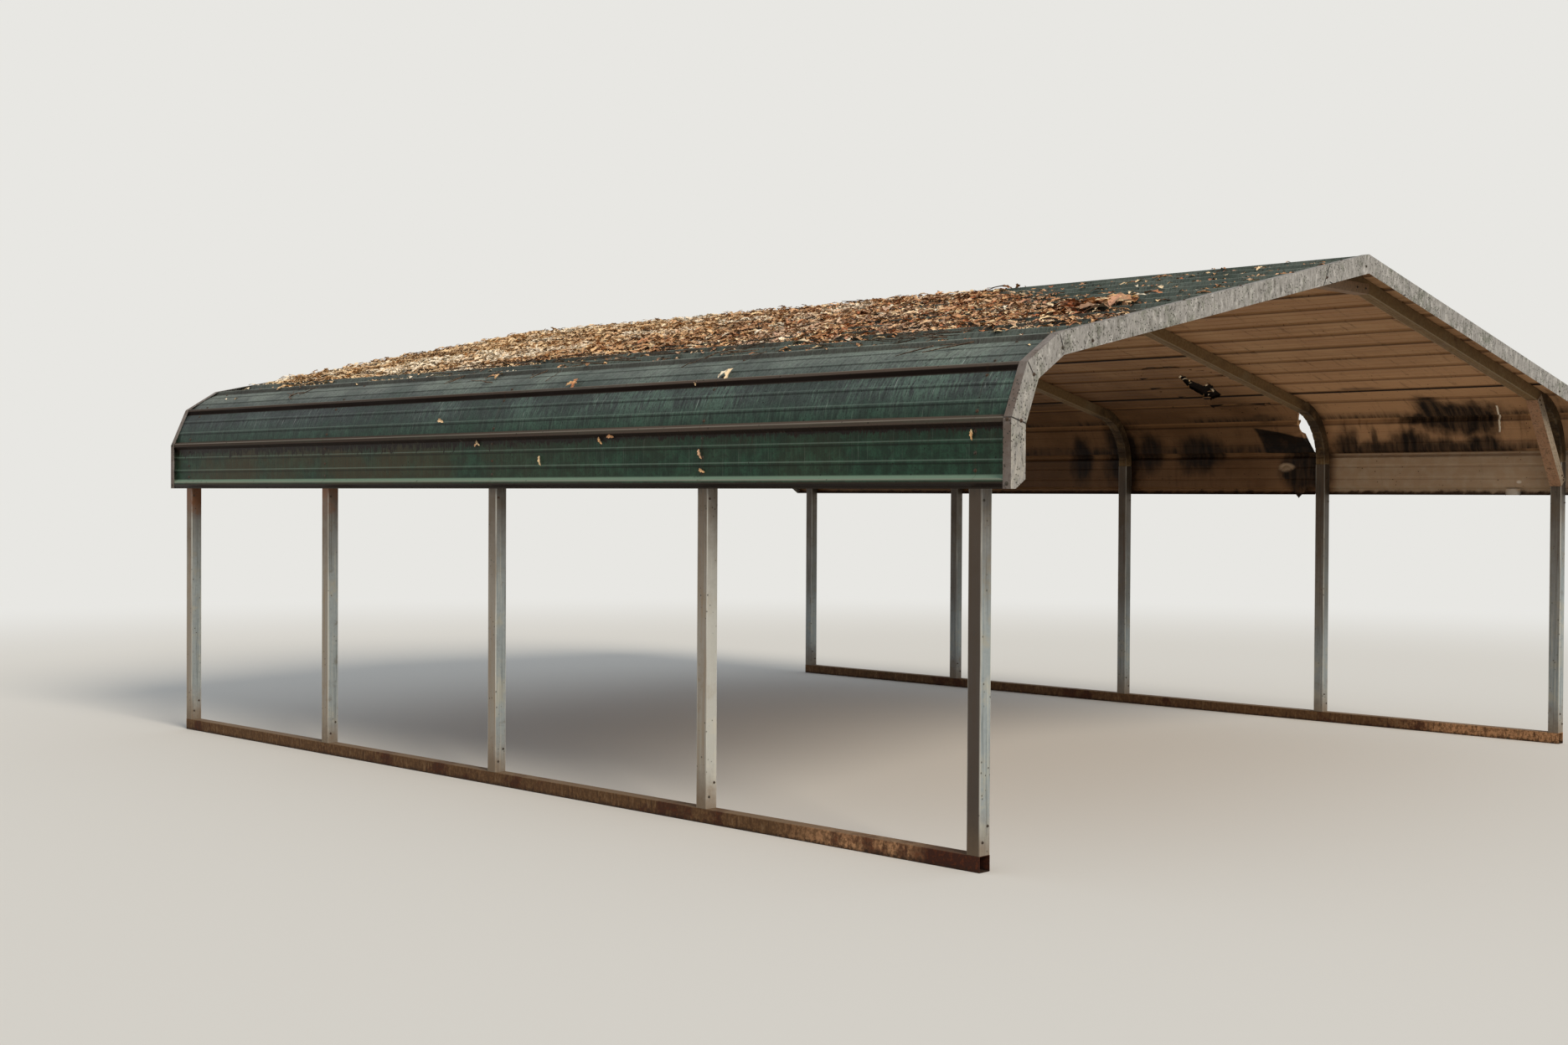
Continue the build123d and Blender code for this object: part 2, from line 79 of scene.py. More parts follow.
def roof_point(side, y, along, lift=SHEET_TOP):
    """A point above the roof line, and the way the sheet faces there. Side is -1 left and 1 right."""
    if along < SLOPE_LENGTH:
        facing = Vector((side * sin(PITCH), 0, cos(PITCH)))
        foot = Vector((side * along * cos(PITCH), y, RIDGE_HEIGHT - along * sin(PITCH)))
    elif along < SLOPE_LENGTH + BEND_LENGTH:
        turn = BEND_ANGLE - (along - SLOPE_LENGTH) / BEND_RADIUS
        facing = Vector((side * cos(turn), 0, sin(turn)))
        foot = Vector((side * BEND_CENTRE, y, BEND_START)) + BEND_RADIUS * facing
    else:
        facing = Vector((side, 0, 0))
        foot = Vector((side * HALF_WIDTH, y, BEND_START - (along - SLOPE_LENGTH - BEND_LENGTH)))
    return foot + lift * facing, facing


print("slope", round(SLOPE_LENGTH, 3), "bend", round(BEND_LENGTH, 3), "ridge", round(RIDGE_HEIGHT, 3))

# %% [markdown]
# ## Camera
# The picture was taken at eye height from off the front left corner. The lens and the three turns were
# fitted to the posts, rails and roof edges. The camera is built from the directions it looks in, so the
# small roll is part of its matrix and no shift is needed.

# %% Camera at the photograph's view
EYE = (-8.325, -7.465, 1.419)
yaw, pitch, roll = radians(45.633), radians(-0.759), radians(0.293)
forward = Vector((sin(yaw) * cos(pitch), cos(yaw) * cos(pitch), sin(pitch)))
level = Vector((cos(yaw), -sin(yaw), 0))
upward = level.cross(forward)
right = level * cos(roll) + upward * sin(roll)
top = upward * cos(roll) - level * sin(roll)

camera_data = bpy.data.cameras.new("view from the front left")
camera_data.sensor_width = 36.0
camera_data.lens = 43.065
camera_data.clip_end = 200.0
camera = bpy.data.objects.new("camera", camera_data)
bpy.context.collection.objects.link(camera)
axes = Matrix((right, top, -forward)).transposed().to_4x4()
camera.matrix_world = Matrix.Translation(EYE) @ axes
bpy.context.scene.camera = camera
print("lens", camera_data.lens, "mm")

# %% [markdown]
# ## One way to write colours and nodes
# Paint and zinc are written down as sRGB hex values, the way a colour picker shows them. Blender's shaders
# want linear light, so one function turns them. A second one adds a node, sets it and joins it up, so that
# each line of a material reads as one step of its making. The rest is what several trees share: a group with
# named inputs and outputs, the distance to the nearest bow, coats of colour, and the surface itself.

# %% Helpers for colours and node trees
MATH, VECTOR, MAP, MIX = "ShaderNodeMath", "ShaderNodeVectorMath", "ShaderNodeMapRange", "ShaderNodeMix"
NOISE, CELLS = "ShaderNodeTexNoise", "ShaderNodeTexVoronoi"
COMBINE, SEPARATE = "ShaderNodeCombineXYZ", "ShaderNodeSeparateXYZ"
# What a maths node does, and a map that eases in and out
MUL, PLUS, MINUS = {"operation": "MULTIPLY"}, {"operation": "ADD"}, {"operation": "SUBTRACT"}
MULADD, TOP, ABS = {"operation": "MULTIPLY_ADD"}, {"operation": "MAXIMUM"}, {"operation": "ABSOLUTE"}
SOFT = {"interpolation_type": "SMOOTHSTEP"}


def linear(hex_colour):
    """Turns an sRGB hex value into the linear colour that a shader works with."""
    parts = [int(hex_colour[start:start + 2], 16) / 255 for start in (1, 3, 5)]
    return [part / 12.92 if part <= 0.04045 else ((part + 0.055) / 1.055) ** 2.4 for part in parts] + [1.0]


def add(tree, kind, *values, links=None, **settings):
    """Adds a node with its settings. A value may be a number, a hex colour, another node, or its output."""
    node = tree.nodes.new(kind)
    for name, setting in settings.items():
        setattr(node, name, setting)
    for place, value in [*enumerate(values), *(links or {}).items()]:
        named = [socket for socket in node.inputs if socket.name == place and socket.enabled]
        socket = node.inputs[place] if isinstance(place, int) else named[0]
        for item in value if isinstance(value, list) else [value]:
            if isinstance(item, bpy.types.Node):
                item = next(output for output in item.outputs if output.enabled)
            if isinstance(item, bpy.types.NodeSocket):
                tree.links.new(item, socket)
            elif item is not None:
                is_colour = isinstance(item, str) and item.startswith("#")
                socket.default_value = linear(item) if is_colour else item
    return node


def per_mm(size):
    """The scale of a pattern whose features are this many millimetres across."""
    return 1000.0 / size


def begin(name):
    """A new empty material and its tree."""
    material = bpy.data.materials.new(name)
    material.use_nodes = True
    material.node_tree.nodes.clear()
    return material, material.node_tree


def new_group(name, kind, inputs, outputs):
    """An empty node group with named inputs and outputs."""
    group = bpy.data.node_groups.new(name, kind)
    for way, sockets in (("INPUT", inputs), ("OUTPUT", outputs)):
        for word, value in sockets.items():
            group.interface.new_socket(word, in_out=way, socket_type="NodeSocket" + value)
    return group


def off_bow(tree, y):
    """How far a point is from the middle of the nearest bow, along the carport."""
    share = add(tree, MATH, y, BOW_SPACING, operation="DIVIDE")
    share = add(tree, MATH, share, add(tree, MATH, share, operation="ROUND"), **MINUS)
    return add(tree, MATH, add(tree, MATH, share, **ABS), BOW_SPACING, **MUL)


def coats(tree, colour, *layers):
    """Lays colours over each other in order. Each layer is a mask from 0 to 1 and its own colour."""
    for mask, over in layers:
        colour = add(tree, MIX, mask, links={"A": colour, "B": over}, data_type="RGBA")
    return colour


def finish_surface(tree, colour, roughness, metallic=0.0, height=None, normal=None, specular=0.5):
    """Joins colour, roughness and a height in millimetres to the surface. Dusty films have less specular."""
    bump = add(tree, "ShaderNodeBump", 1.0, 0.001, links={"Height": height, "Normal": normal})
    links = {"Base Color": colour, "Roughness": roughness, "Metallic": metallic,
             "Specular IOR Level": specular, "Normal": bump}
    shader = add(tree, "ShaderNodeBsdfPrincipled", links=links)
    add(tree, "ShaderNodeOutputMaterial", links={"Surface": shader})


print("a mid grey in linear light:", round(linear("#808080")[0], 3))

# %% [markdown]
# ## Studio
# The photograph's light comes from the front, over the camera's right shoulder, and leaves the left wall
# in open shade. One large soft sun does that, and an even sky fills in. Both are kept at a level at which a
# colour renders about as it is written. The background is pale only for the camera and for reflections.

# %% Sky, sun and floor
PALE = "#e8e7e3"
scene = bpy.context.scene
scene.view_settings.view_transform = "Standard"
world = bpy.data.worlds.new("pale studio")
scene.world = world
world.use_nodes = True
sky = world.node_tree
sky.nodes.clear()
ray = add(sky, "ShaderNodeLightPath")
seen = add(sky, MATH, ray.outputs["Is Camera Ray"], ray.outputs["Is Glossy Ray"], **TOP)
seen = add(sky, MATH, seen, ray.outputs["Is Transmission Ray"], **TOP)
soft = add(sky, "ShaderNodeBackground", "#e6ecf2", 0.62)
backdrop = add(sky, "ShaderNodeBackground", PALE, 1.0)
both = add(sky, "ShaderNodeMixShader", seen, soft, backdrop)
add(sky, "ShaderNodeOutputWorld", links={"Surface": both})

sun_data = bpy.data.lights.new("large soft sun", "SUN")
sun_data.energy = 2.5
sun_data.angle = radians(24)
sun_data.color = linear("#fff3e2")[:3]
sun = bpy.data.objects.new("large soft sun", sun_data)
sun.rotation_mode = "QUATERNION"
sun.rotation_quaternion = Vector((0.16, 0.82, -0.55)).to_track_quat("-Z", "Y")
bpy.context.collection.objects.link(sun)

REACH = 60
floor_mesh = bpy.data.meshes.new("floor")
floor_corners = [(-REACH, -REACH, 0), (REACH, -REACH, 0), (REACH, REACH, 0), (-REACH, REACH, 0)]
floor_mesh.from_pydata(floor_corners, [], [(0, 1, 2, 3)])
floor = bpy.data.objects.new("floor", floor_mesh)
bpy.context.collection.objects.link(floor)
floor_paint, tree = begin("pale studio floor")
spot = add(tree, "ShaderNodeTexCoord")
away = add(tree, VECTOR, spot.outputs["Object"], operation="LENGTH")
far = add(tree, MAP, away.outputs["Value"], 7.0, 16.0, 0.0, 1.0, **SOFT)
ray = add(tree, "ShaderNodeLightPath")
seen = add(tree, MATH, ray.outputs["Is Camera Ray"], ray.outputs["Is Glossy Ray"], **TOP)
fade = add(tree, MATH, far, seen, **MUL)
# The floor is pale to look at, and a shade darker and warmer in the light that it throws up under the roof
tint = add(tree, MIX, seen, links={"A": "#c9bfb0", "B": "#dcdad5"}, data_type="RGBA")
matt = add(tree, "ShaderNodeBsdfDiffuse", tint)
glow = add(tree, "ShaderNodeEmission", PALE, 1.0)
both = add(tree, "ShaderNodeMixShader", fade, matt, glow)
add(tree, "ShaderNodeOutputMaterial", links={"Surface": both})
floor_mesh.materials.append(floor_paint)
print("stage: floor, sky and one sun")

# %% [markdown]
# ## Where on the roof is this point?
# Dirt on a ribbed roof follows its shape: it sits along ribs, runs downhill and stops at laps. So the
# patterns are drawn on the unrolled sheet and not in space. This group finds, for any point on the roof, the
# distance down from the ridge and from the nearest rib, the side of the sheet, and the way it faces.

# %% Node group: places on the unrolled roof
roof_places = new_group("places on the roof", "ShaderNodeTree", {}, {
    "Along": "Float", "Below Rib": "Float", "Outside": "Float", "Turn": "Float", "Y": "Float",
    "Unrolled": "Vector", "Facing": "Vector"})
tree = roof_places
spot = add(tree, "ShaderNodeTexCoord")
x, y, z = add(tree, SEPARATE, spot.outputs["Object"]).outputs
width = add(tree, MATH, x, **ABS)
side = add(tree, MATH, x, operation="SIGN")
out = add(tree, MATH, width, BEND_CENTRE, **MINUS)
up = add(tree, MATH, z, BEND_START, **MINUS)
turn = add(tree, "ShaderNodeClamp", add(tree, MATH, up, out, operation="ARCTAN2"), 0.0, BEND_ANGLE)
level_part = add(tree, MATH, add(tree, MATH, turn, operation="COSINE"), side, **MUL)
facing = add(tree, COMBINE, level_part, 0.0, add(tree, MATH, turn, operation="SINE"))
# On the slope the distance down is measured back from the slope's end
at_end = -SLOPE_END.x * cos(PITCH) + SLOPE_END.z * sin(PITCH)
run = add(tree, MATH, width, cos(PITCH), at_end, **MULADD)
run = add(tree, MATH, z, -sin(PITCH), run, **MULADD)
before = add(tree, MATH, run, 0.0, operation="MINIMUM")
drop = add(tree, MATH, add(tree, MATH, up, -1.0, **MUL), 0.0, **TOP)
arc = add(tree, MATH, turn, -BEND_RADIUS, SLOPE_LENGTH + BEND_LENGTH, **MULADD)
along = add(tree, MATH, add(tree, MATH, arc, before, **PLUS), drop, **PLUS)
rib = add(tree, MATH, add(tree, MATH, along, RIB_SPACING, operation="DIVIDE"), operation="ROUND")
below = add(tree, MATH, rib, -RIB_SPACING, along, **MULADD)
shape = add(tree, "ShaderNodeNewGeometry")
flat = shape.outputs["True Normal"]
dot = add(tree, VECTOR, flat, facing, operation="DOT_PRODUCT").outputs["Value"]
outside = add(tree, MATH, dot, 0.0, operation="GREATER_THAN")
smooth = add(tree, VECTOR, facing, add(tree, MATH, dot, operation="SIGN"), **MUL)
# Where a face lies within seven degrees of the smooth roof, the smooth way of facing is used
near = add(tree, MATH, add(tree, MATH, dot, **ABS), 0.992, operation="GREATER_THAN")
normal = add(tree, MIX, near, links={"A": flat, "B": smooth}, data_type="VECTOR")
sheet_plane = add(tree, COMBINE, y, along, add(tree, MATH, side, 3.0, **MUL))
add(tree, "NodeGroupOutput", along, below, outside, turn, y, sheet_plane, normal)
print("roof group nodes:", len(tree.nodes))

# %% [markdown]
# ## Roof sheets: faded enamel outside
# The sheets are roll-formed steel, coil-coated before forming: dark green enamel outside, a thin taupe
# primer inside. Sun has chalked the enamel slate grey where it faces the sky, rain combs it downhill, and
# the ribs hold wet dirt. One flat colour would look like plastic, so the outside is built as thin coats over
# the enamel: first what weather does to paint, then what the ribs do to dirt. Some coats are painted light
# and shade: a painted reflection of the sky on the bend, and painted highlights and painted shade at the
# ribs.

# %% Patterns on the unrolled sheets
sheet_paint, tree = begin("roll-formed sheet, chalked enamel and primer")
roof = add(tree, "ShaderNodeGroup", node_tree=roof_places)
unrolled, along, below_rib = roof.outputs["Unrolled"], roof.outputs["Along"], roof.outputs["Below Rib"]
y = roof.outputs["Y"]
from_rib = add(tree, MATH, below_rib, **ABS)
on_right = add(tree, MATH, add(tree, SEPARATE, unrolled).outputs[2], 0.0, operation="GREATER_THAN")

clouds = add(tree, NOISE, links={"Vector": unrolled, "Scale": per_mm(420), "Detail": 5.0, "Roughness": 0.6})
patches = add(tree, NOISE, links={"Vector": unrolled, "Scale": per_mm(70), "Detail": 4.0, "Roughness": 0.65})
grain = add(tree, NOISE, links={"Vector": unrolled, "Scale": per_mm(9), "Detail": 2.0})
# Rain streaks are 7 mm wide and a third of a metre long, and finer threads of dirt run between them
downhill = add(tree, VECTOR, unrolled, (per_mm(7), per_mm(320), 1.0), **MUL)
streaks = add(tree, NOISE, links={"Vector": downhill, "Scale": 1.0, "Detail": 3.0, "Roughness": 0.7})
downhill = add(tree, VECTOR, unrolled, (per_mm(12), per_mm(90), 1.0), **MUL)
threads = add(tree, NOISE, links={"Vector": downhill, "Scale": 1.0, "Detail": 4.0, "Roughness": 0.75})
long_way = add(tree, VECTOR, unrolled, (per_mm(900), per_mm(16), 1.0), **MUL)
bands = add(tree, NOISE, links={"Vector": long_way, "Scale": 1.0, "Detail": 2.0})
print("patterns:", "clouds, patches, grain, streaks, threads, bands")

# %% Outside: what sun and rain do
skyward = add(tree, MAP, roof.outputs["Turn"], radians(1), radians(34), 0.0, 1.0, **SOFT)
chalk = add(tree, MATH, skyward, add(tree, MAP, clouds, 0.30, 0.58, 0.50, 0.95, **SOFT), **MUL)
green_patch = add(tree, MAP, add(tree, MATH, clouds, threads, **PLUS), 0.94, 1.14, 0.0, 1.0, **SOFT)
chalk_colour = coats(
    tree, "#4a4e51",
    (green_patch, "#5a6f66"),
    (add(tree, MAP, along, 2.45, 2.15, 0.0, 0.6, **SOFT), "#55766b"),
    # Towards the rear the chalk is tinted slate purple: painted shade
    (add(tree, MAP, y, -0.6, 1.4, 0.0, 0.55, **SOFT), "#484850"),
)
# Where the bend faces the sky it is painted lighter: a painted reflection of the sky on the enamel
painted_sky_sheen = add(tree, MAP, roof.outputs["Turn"], radians(32), radians(62), 0.0, 0.65, **SOFT)
painted_sky_sheen = add(tree, MATH, painted_sky_sheen, add(tree, MAP, clouds, 0.35, 0.60, 0.3, 1.0, **SOFT), **MUL)
mottle = add(tree, MAP, patches, 0.40, 0.66, 0.0, 0.75, **SOFT)
light_thread = add(tree, MAP, threads, 0.53, 0.74, 0.0, 0.32, **SOFT)
light_thread = add(tree, MATH, light_thread, add(tree, MAP, skyward, 0.0, 1.0, 0.15, 1.0), **MUL)
dark_thread = add(tree, MAP, threads, 0.47, 0.30, 0.0, 0.60, **SOFT)
gritty = add(tree, MAP, grain, 0.52, 0.36, 0.0, 0.35, **SOFT)
pale_streak = add(tree, MAP, streaks, 0.58, 0.74, 0.0, 0.22, **SOFT)
dark_streak = add(tree, MAP, streaks, 0.46, 0.30, 0.0, 0.35, **SOFT)

# Behind the middle bow the wall strip carries a brown film, in hanging curtains
film = add(tree, MAP, y, -0.6, 1.0, 0.25, 1.0, **SOFT)
film = add(tree, MATH, film, add(tree, MAP, along, 2.96, 3.0, 0.0, 1.0), **MUL)
film = add(tree, MATH, film, add(tree, MAP, clouds, 0.38, 0.60, 0.10, 0.9, **SOFT), **MUL)
film = add(tree, MATH, film, add(tree, MAP, streaks, 0.40, 0.62, 0.55, 0.9, **SOFT), **MUL)

# The bend is scratched: pale lines at a slant to the ribs
slant = {"Rotation": (0, 0, radians(38)), "Scale": (per_mm(7), per_mm(120), 1.0)}
slant = add(tree, "ShaderNodeMapping", unrolled, links=slant)
scratch = add(tree, NOISE, links={"Vector": slant, "Scale": 1.0, "Detail": 2.0})
scratch = add(tree, MAP, scratch, 0.64, 0.74, 0.0, 0.8, **SOFT)
in_bend = add(tree, MAP, along, 2.46, 2.56, 0.0, 1.0, **SOFT)
in_bend = add(tree, MATH, in_bend, add(tree, MAP, along, 2.80, 2.96, 1.0, 0.0, **SOFT), **MUL)
scratch = add(tree, MATH, scratch, in_bend, **MUL)
scratch = add(tree, MATH, scratch, add(tree, MAP, clouds, 0.45, 0.58, 0.15, 1.0, **SOFT), **MUL)

# Under the litter the slope is stained with leaf mould, less at the upper front and on the right
humus = add(tree, MAP, along, 2.35, 1.95, 0.0, 0.9, **SOFT)
humus = add(tree, MATH, humus, add(tree, MAP, patches, 0.40, 0.56, 0.15, 1.0, **SOFT), **MUL)
covered = add(tree, MATH, y, 0.8, along, **MULADD)
humus = add(tree, MATH, humus, add(tree, MAP, covered, -0.95, -0.45, 0.12, 1.0, **SOFT), **MUL)
humus = add(tree, MATH, humus, add(tree, MAP, on_right, 0.0, 1.0, 1.0, 0.35), **MUL)
print("weather laid, nodes so far:", len(tree.nodes))

# %% Outside: what the ribs do
# Brown over the crest, a pale edge on top that is rubbed paint with a painted highlight, and under the lower
# foot a dark ragged curtain that is wet dirt with painted shade
last_rib = FULL_RIBS * RIB_SPACING
low_ribs = add(tree, MAP, along, 2.45, 2.70, 0.22, 1.0, **SOFT)
at_eave = add(tree, MAP, along, 3.12, 3.15, 0.0, 1.0)
uneven = add(tree, MAP, bands, 0.28, 0.62, 0.7, 1.0, **SOFT)
rib_dirt = add(tree, MATH, add(tree, MAP, from_rib, 0.026, 0.019, 0.0, 1.0, **SOFT), low_ribs, **MUL)
rib_dirt = add(tree, MATH, rib_dirt, uneven, **MUL)
rib_dirt = add(tree, MATH, rib_dirt, add(tree, MAP, at_eave, 0.0, 1.0, 1.0, 0.12), **MUL)
# Only the last full rib has a curtain hanging from it; under the others the line is sharp
at_last = add(tree, MAP, along, last_rib - 0.05, last_rib - 0.04, 0.0, 1.0)
at_last = add(tree, MATH, at_last, at_eave, **MINUS)
droop = add(tree, MATH, patches, 0.090, add(tree, MATH, threads, 0.110, **MUL), **MULADD)
droop = add(tree, MATH, droop, -0.084, **PLUS)
droop = add(tree, MATH, droop, add(tree, MAP, y, -1.6, 0.6, 0.6, 1.6), **MUL)
hanging = add(tree, MATH, add(tree, MATH, droop, at_last, **MUL), -1.0, below_rib, **MULADD)
# Painted shade with wet dirt under the lower foot of each rib
dirt_and_shade_under_rib = add(tree, MAP, below_rib, 0.006, 0.011, 0.0, 1.0, **SOFT)
dirt_and_shade_under_rib = add(tree, MATH, dirt_and_shade_under_rib, add(tree, MAP, hanging, 0.025, 0.018, 0.0, 0.97, **SOFT), **MUL)
dirt_and_shade_under_rib = add(tree, MATH, dirt_and_shade_under_rib, low_ribs, **MUL)
# Rubbed paint with a painted highlight on the upper edge of each rib
off_edge = add(tree, MATH, add(tree, MATH, below_rib, 0.0085, **PLUS), **ABS)
rubbed_and_highlight = add(tree, MAP, off_edge, 0.0040, 0.0015, 0.0, 0.60, **SOFT)
rubbed_and_highlight = add(tree, MATH, rubbed_and_highlight, uneven, **MUL)

# The two small ribs between each pair get a painted highlight over a line of painted shade
third = RIB_SPACING / 3
small_rib = add(tree, MATH, add(tree, MATH, along, third, operation="DIVIDE"), operation="ROUND")
small_rib = add(tree, MATH, small_rib, -third, along, **MULADD)
clear = add(tree, MAP, from_rib, 0.030, 0.040, 0.0, 1.0)
upper_side = add(tree, MATH, add(tree, MATH, small_rib, 0.006, **PLUS), **ABS)
small_rib_highlight = add(tree, MAP, upper_side, 0.0040, 0.0012, 0.0, 0.26, **SOFT)
small_rib_highlight = add(tree, MATH, add(tree, MATH, small_rib_highlight, clear, **MUL), add(tree, MAP, skyward, 0.0, 0.8, 1.0, 0.4), **MUL)
lower_side = add(tree, MATH, add(tree, MATH, small_rib, 0.006, **MINUS), **ABS)
small_rib_shade = add(tree, MAP, lower_side, 0.0055, 0.0020, 0.0, 0.50, **SOFT)
small_rib_shade = add(tree, MATH, small_rib_shade, clear, **MUL)

# The rib at the eave stays green on its crest, with a painted highlight along its upper half and painted
# shade with dirt on its underside
eave_painted_highlight = add(tree, MAP, below_rib, -0.028, -0.022, 0.0, 1.0)
eave_painted_highlight = add(tree, MATH, eave_painted_highlight, add(tree, MAP, below_rib, -0.001, -0.009, 0.0, 0.85, **SOFT), **MUL)
eave_painted_highlight = add(tree, MATH, at_eave, eave_painted_highlight, **MUL)
eave_shade_and_dirt = add(tree, MATH, at_eave, add(tree, MAP, below_rib, -0.002, 0.006, 0.0, 0.92, **SOFT), **MUL)

# Splashes of dirt hang under the last full rib, and dark specks sit everywhere
splash = add(tree, MAP, along, last_rib + 0.105, last_rib + 0.02, 0.0, 1.0, **SOFT)
splash = add(tree, MATH, splash, add(tree, MAP, along, last_rib, last_rib + 0.012, 0.0, 1.0), **MUL)
splash = add(tree, MATH, splash, add(tree, MAP, threads, 0.50, 0.66, 0.10, 0.9, **SOFT), **MUL)
speck_cells = add(tree, CELLS, links={"Vector": unrolled, "Scale": per_mm(30)})
specks = add(tree, MAP, speck_cells.outputs["Distance"], 0.16, 0.08, 0.0, 0.9, **SOFT)
specks = add(tree, MATH, specks, add(tree, MAP, patches, 0.50, 0.56, 0.0, 1.0, **SOFT), **MUL)

# Rust runs down from the screws at each bow
wavering = add(tree, MATH, grain, 0.012, off_bow(tree, y), **MULADD)
rust_run = add(tree, MAP, wavering, 0.020, 0.008, 0.0, 1.0, **SOFT)
rust_run = add(tree, MATH, rust_run, add(tree, MAP, streaks, 0.42, 0.62, 0.0, 0.3, **SOFT), **MUL)

# Behind, where more leaves rot, the ribs are a darker brown
rib_brown = coats(tree, "#4f433b", (add(tree, MAP, y, -1.2, 0.8, 0.0, 0.8, **SOFT), "#362a23"))

outside_colour = coats(
    tree, "#1f3629",
    (mottle, "#2f5240"),
    (chalk, chalk_colour),
    (painted_sky_sheen, "#858d85"),
    (gritty, "#1c2421"),
    (light_thread, "#7c8d80"),
    (dark_thread, "#161d18"),
    (pale_streak, "#8f9b92"),
    (dark_streak, "#171c17"),
    (film, "#43361f"),
    (scratch, "#b3bcb8"),
    (humus, "#38291d"),
    (small_rib_highlight, "#8ea294"),
    (small_rib_shade, "#10140f"),
    (rib_dirt, rib_brown),
    (eave_painted_highlight, "#7d9683"),
    (eave_shade_and_dirt, "#2a1d14"),
    (dirt_and_shade_under_rib, "#150b07"),
    (rubbed_and_highlight, "#8e877c"),
    (splash, "#2a1c12"),
    (rust_run, "#3f2b1d"),
    (specks, "#14100d"),
)
print("outside coats laid, nodes so far:", len(tree.nodes))

# %% [markdown]
# ## Roof sheets: primer and mould inside
# The underside keeps its taupe primer, gone warm brown with dust and darker towards the damp eaves. Where
# the sheet bends down, rotting leaves above have grown black mould: soft smears that end sharply at a rib.
# Each one is an ellipse on the unrolled sheet with its edge broken up by noise, so one small group is used
# once for each smear. A pushed-in fold beside the second bow is black with it and with painted shadow, and
# two
# smears are painted shade: one over the dent, one in the pocket under a torn tongue.

# %% Node group: one smear of mould
smear = new_group("smear of mould", "ShaderNodeTree", {
    "Place": "Vector", "Centre": "Vector", "Half Size": "Vector", "Strength": "Float"}, {"Mask": "Float"})
given = add(smear, "NodeGroupInput").outputs
offset = add(smear, VECTOR, given["Place"], given["Centre"], **MINUS)
offset = add(smear, VECTOR, offset, given["Half Size"], operation="DIVIDE")
drawn = {"Rotation": (0, 0, radians(20)), "Scale": (per_mm(95), per_mm(170), 1.0)}
drawn = add(smear, "ShaderNodeMapping", given["Place"], links=drawn)
ragged = add(smear, NOISE, links={"Vector": drawn, "Scale": 1.0, "Detail": 4.0, "Roughness": 0.6})
reach = add(smear, VECTOR, offset, operation="LENGTH").outputs["Value"]
reach = add(smear, MATH, ragged, -1.1, add(smear, MATH, reach, 0.55, **PLUS), **MULADD)
mask = add(smear, MAP, reach, 1.25, 0.50, 0.0, given["Strength"], **SOFT)
add(smear, "NodeGroupOutput", mask)

# Centre and half size in metres, along the carport and down from the ridge, and how strong the smear is
SMEARS = [
    ((0.38, 3.00), (0.10, 0.20), 1.0), ((0.02, 2.95), (0.18, 0.26), 1.0),
    ((-0.19, 2.93), (0.11, 0.15), 0.95), ((-0.58, 2.95), (0.19, 0.15), 1.0),
    # The first smear on the next line is mould with painted shade over the dent
    ((-1.38, 3.08), (0.19, 0.19), 1.0), ((-1.55, 3.05), (0.07, 0.16), 0.8),
    ((-1.68, 2.97), (0.10, 0.22), 1.0), ((-1.86, 2.97), (0.030, 0.18), 0.85),
    ((-2.10, 2.97), (0.18, 0.17), 1.0), ((-2.30, 2.97), (0.16, 0.12), 0.95),
    ((-2.54, 2.97), (0.15, 0.14), 1.0), ((-2.31, 2.66), (0.12, 0.20), 1.0),
    ((-2.46, 2.73), (0.34, 0.17), 1.0), ((-2.10, 2.965), (0.80, 0.095), 0.95),
    # The last smear on the next line is painted shadow in the pocket under the torn tongue
    ((-2.40, 2.735), (0.42, 0.070), 1.0), ((-1.255, 3.105), (0.055, 0.032), 1.0),
    ((-2.02, 2.25), (0.13, 0.035), 0.6), ((-1.13, 2.70), (0.10, 0.05), 0.6),
    ((0.40, 2.35), (0.20, 0.04), 0.4),
]
print("smears of mould:", len(SMEARS))

# %% Inside: mould, laps and stains
flat_place = add(tree, VECTOR, unrolled, (1.0, 1.0, 0.0), **MUL)


def smear_at(centre, half_size, strength):
    """The smear group at one place of the unrolled sheet, where left and right lie over each other."""
    values = flat_place, (*centre, 0.0), (*half_size, 1.0), strength
    return add(tree, "ShaderNodeGroup", *values, node_tree=smear)


# The smears are mould, and two of them painted shade
mould = 0.0
for centre, half_size, strength in SMEARS:
    mould = add(tree, MATH, mould, smear_at(centre, half_size, strength), **TOP)
# Streaks in the smears run downhill
comb = add(tree, VECTOR, unrolled, (per_mm(34), per_mm(300), 1.0), **MUL)
comb = add(tree, NOISE, links={"Vector": comb, "Scale": 1.0, "Detail": 4.0, "Roughness": 0.6})
mould = add(tree, MATH, mould, add(tree, MAP, comb, 0.36, 0.60, 0.84, 1.0, **SOFT), **MUL)
# In the front bay the strip of wall below the last full rib stays clean
front_bay = add(tree, MAP, y, -1.53, -1.60, 0.0, 1.0)
front_wall = add(tree, MATH, front_bay, add(tree, MAP, along, last_rib - 0.008, last_rib, 0.0, 1.0), **MUL)
mould = add(tree, MATH, mould, add(tree, MATH, 1.0, front_wall, **MINUS), **MUL)
# The left half of the roof has only a third of the mould
mould = add(tree, MATH, mould, add(tree, MAP, on_right, 0.0, 1.0, 0.35, 1.0), **MUL)

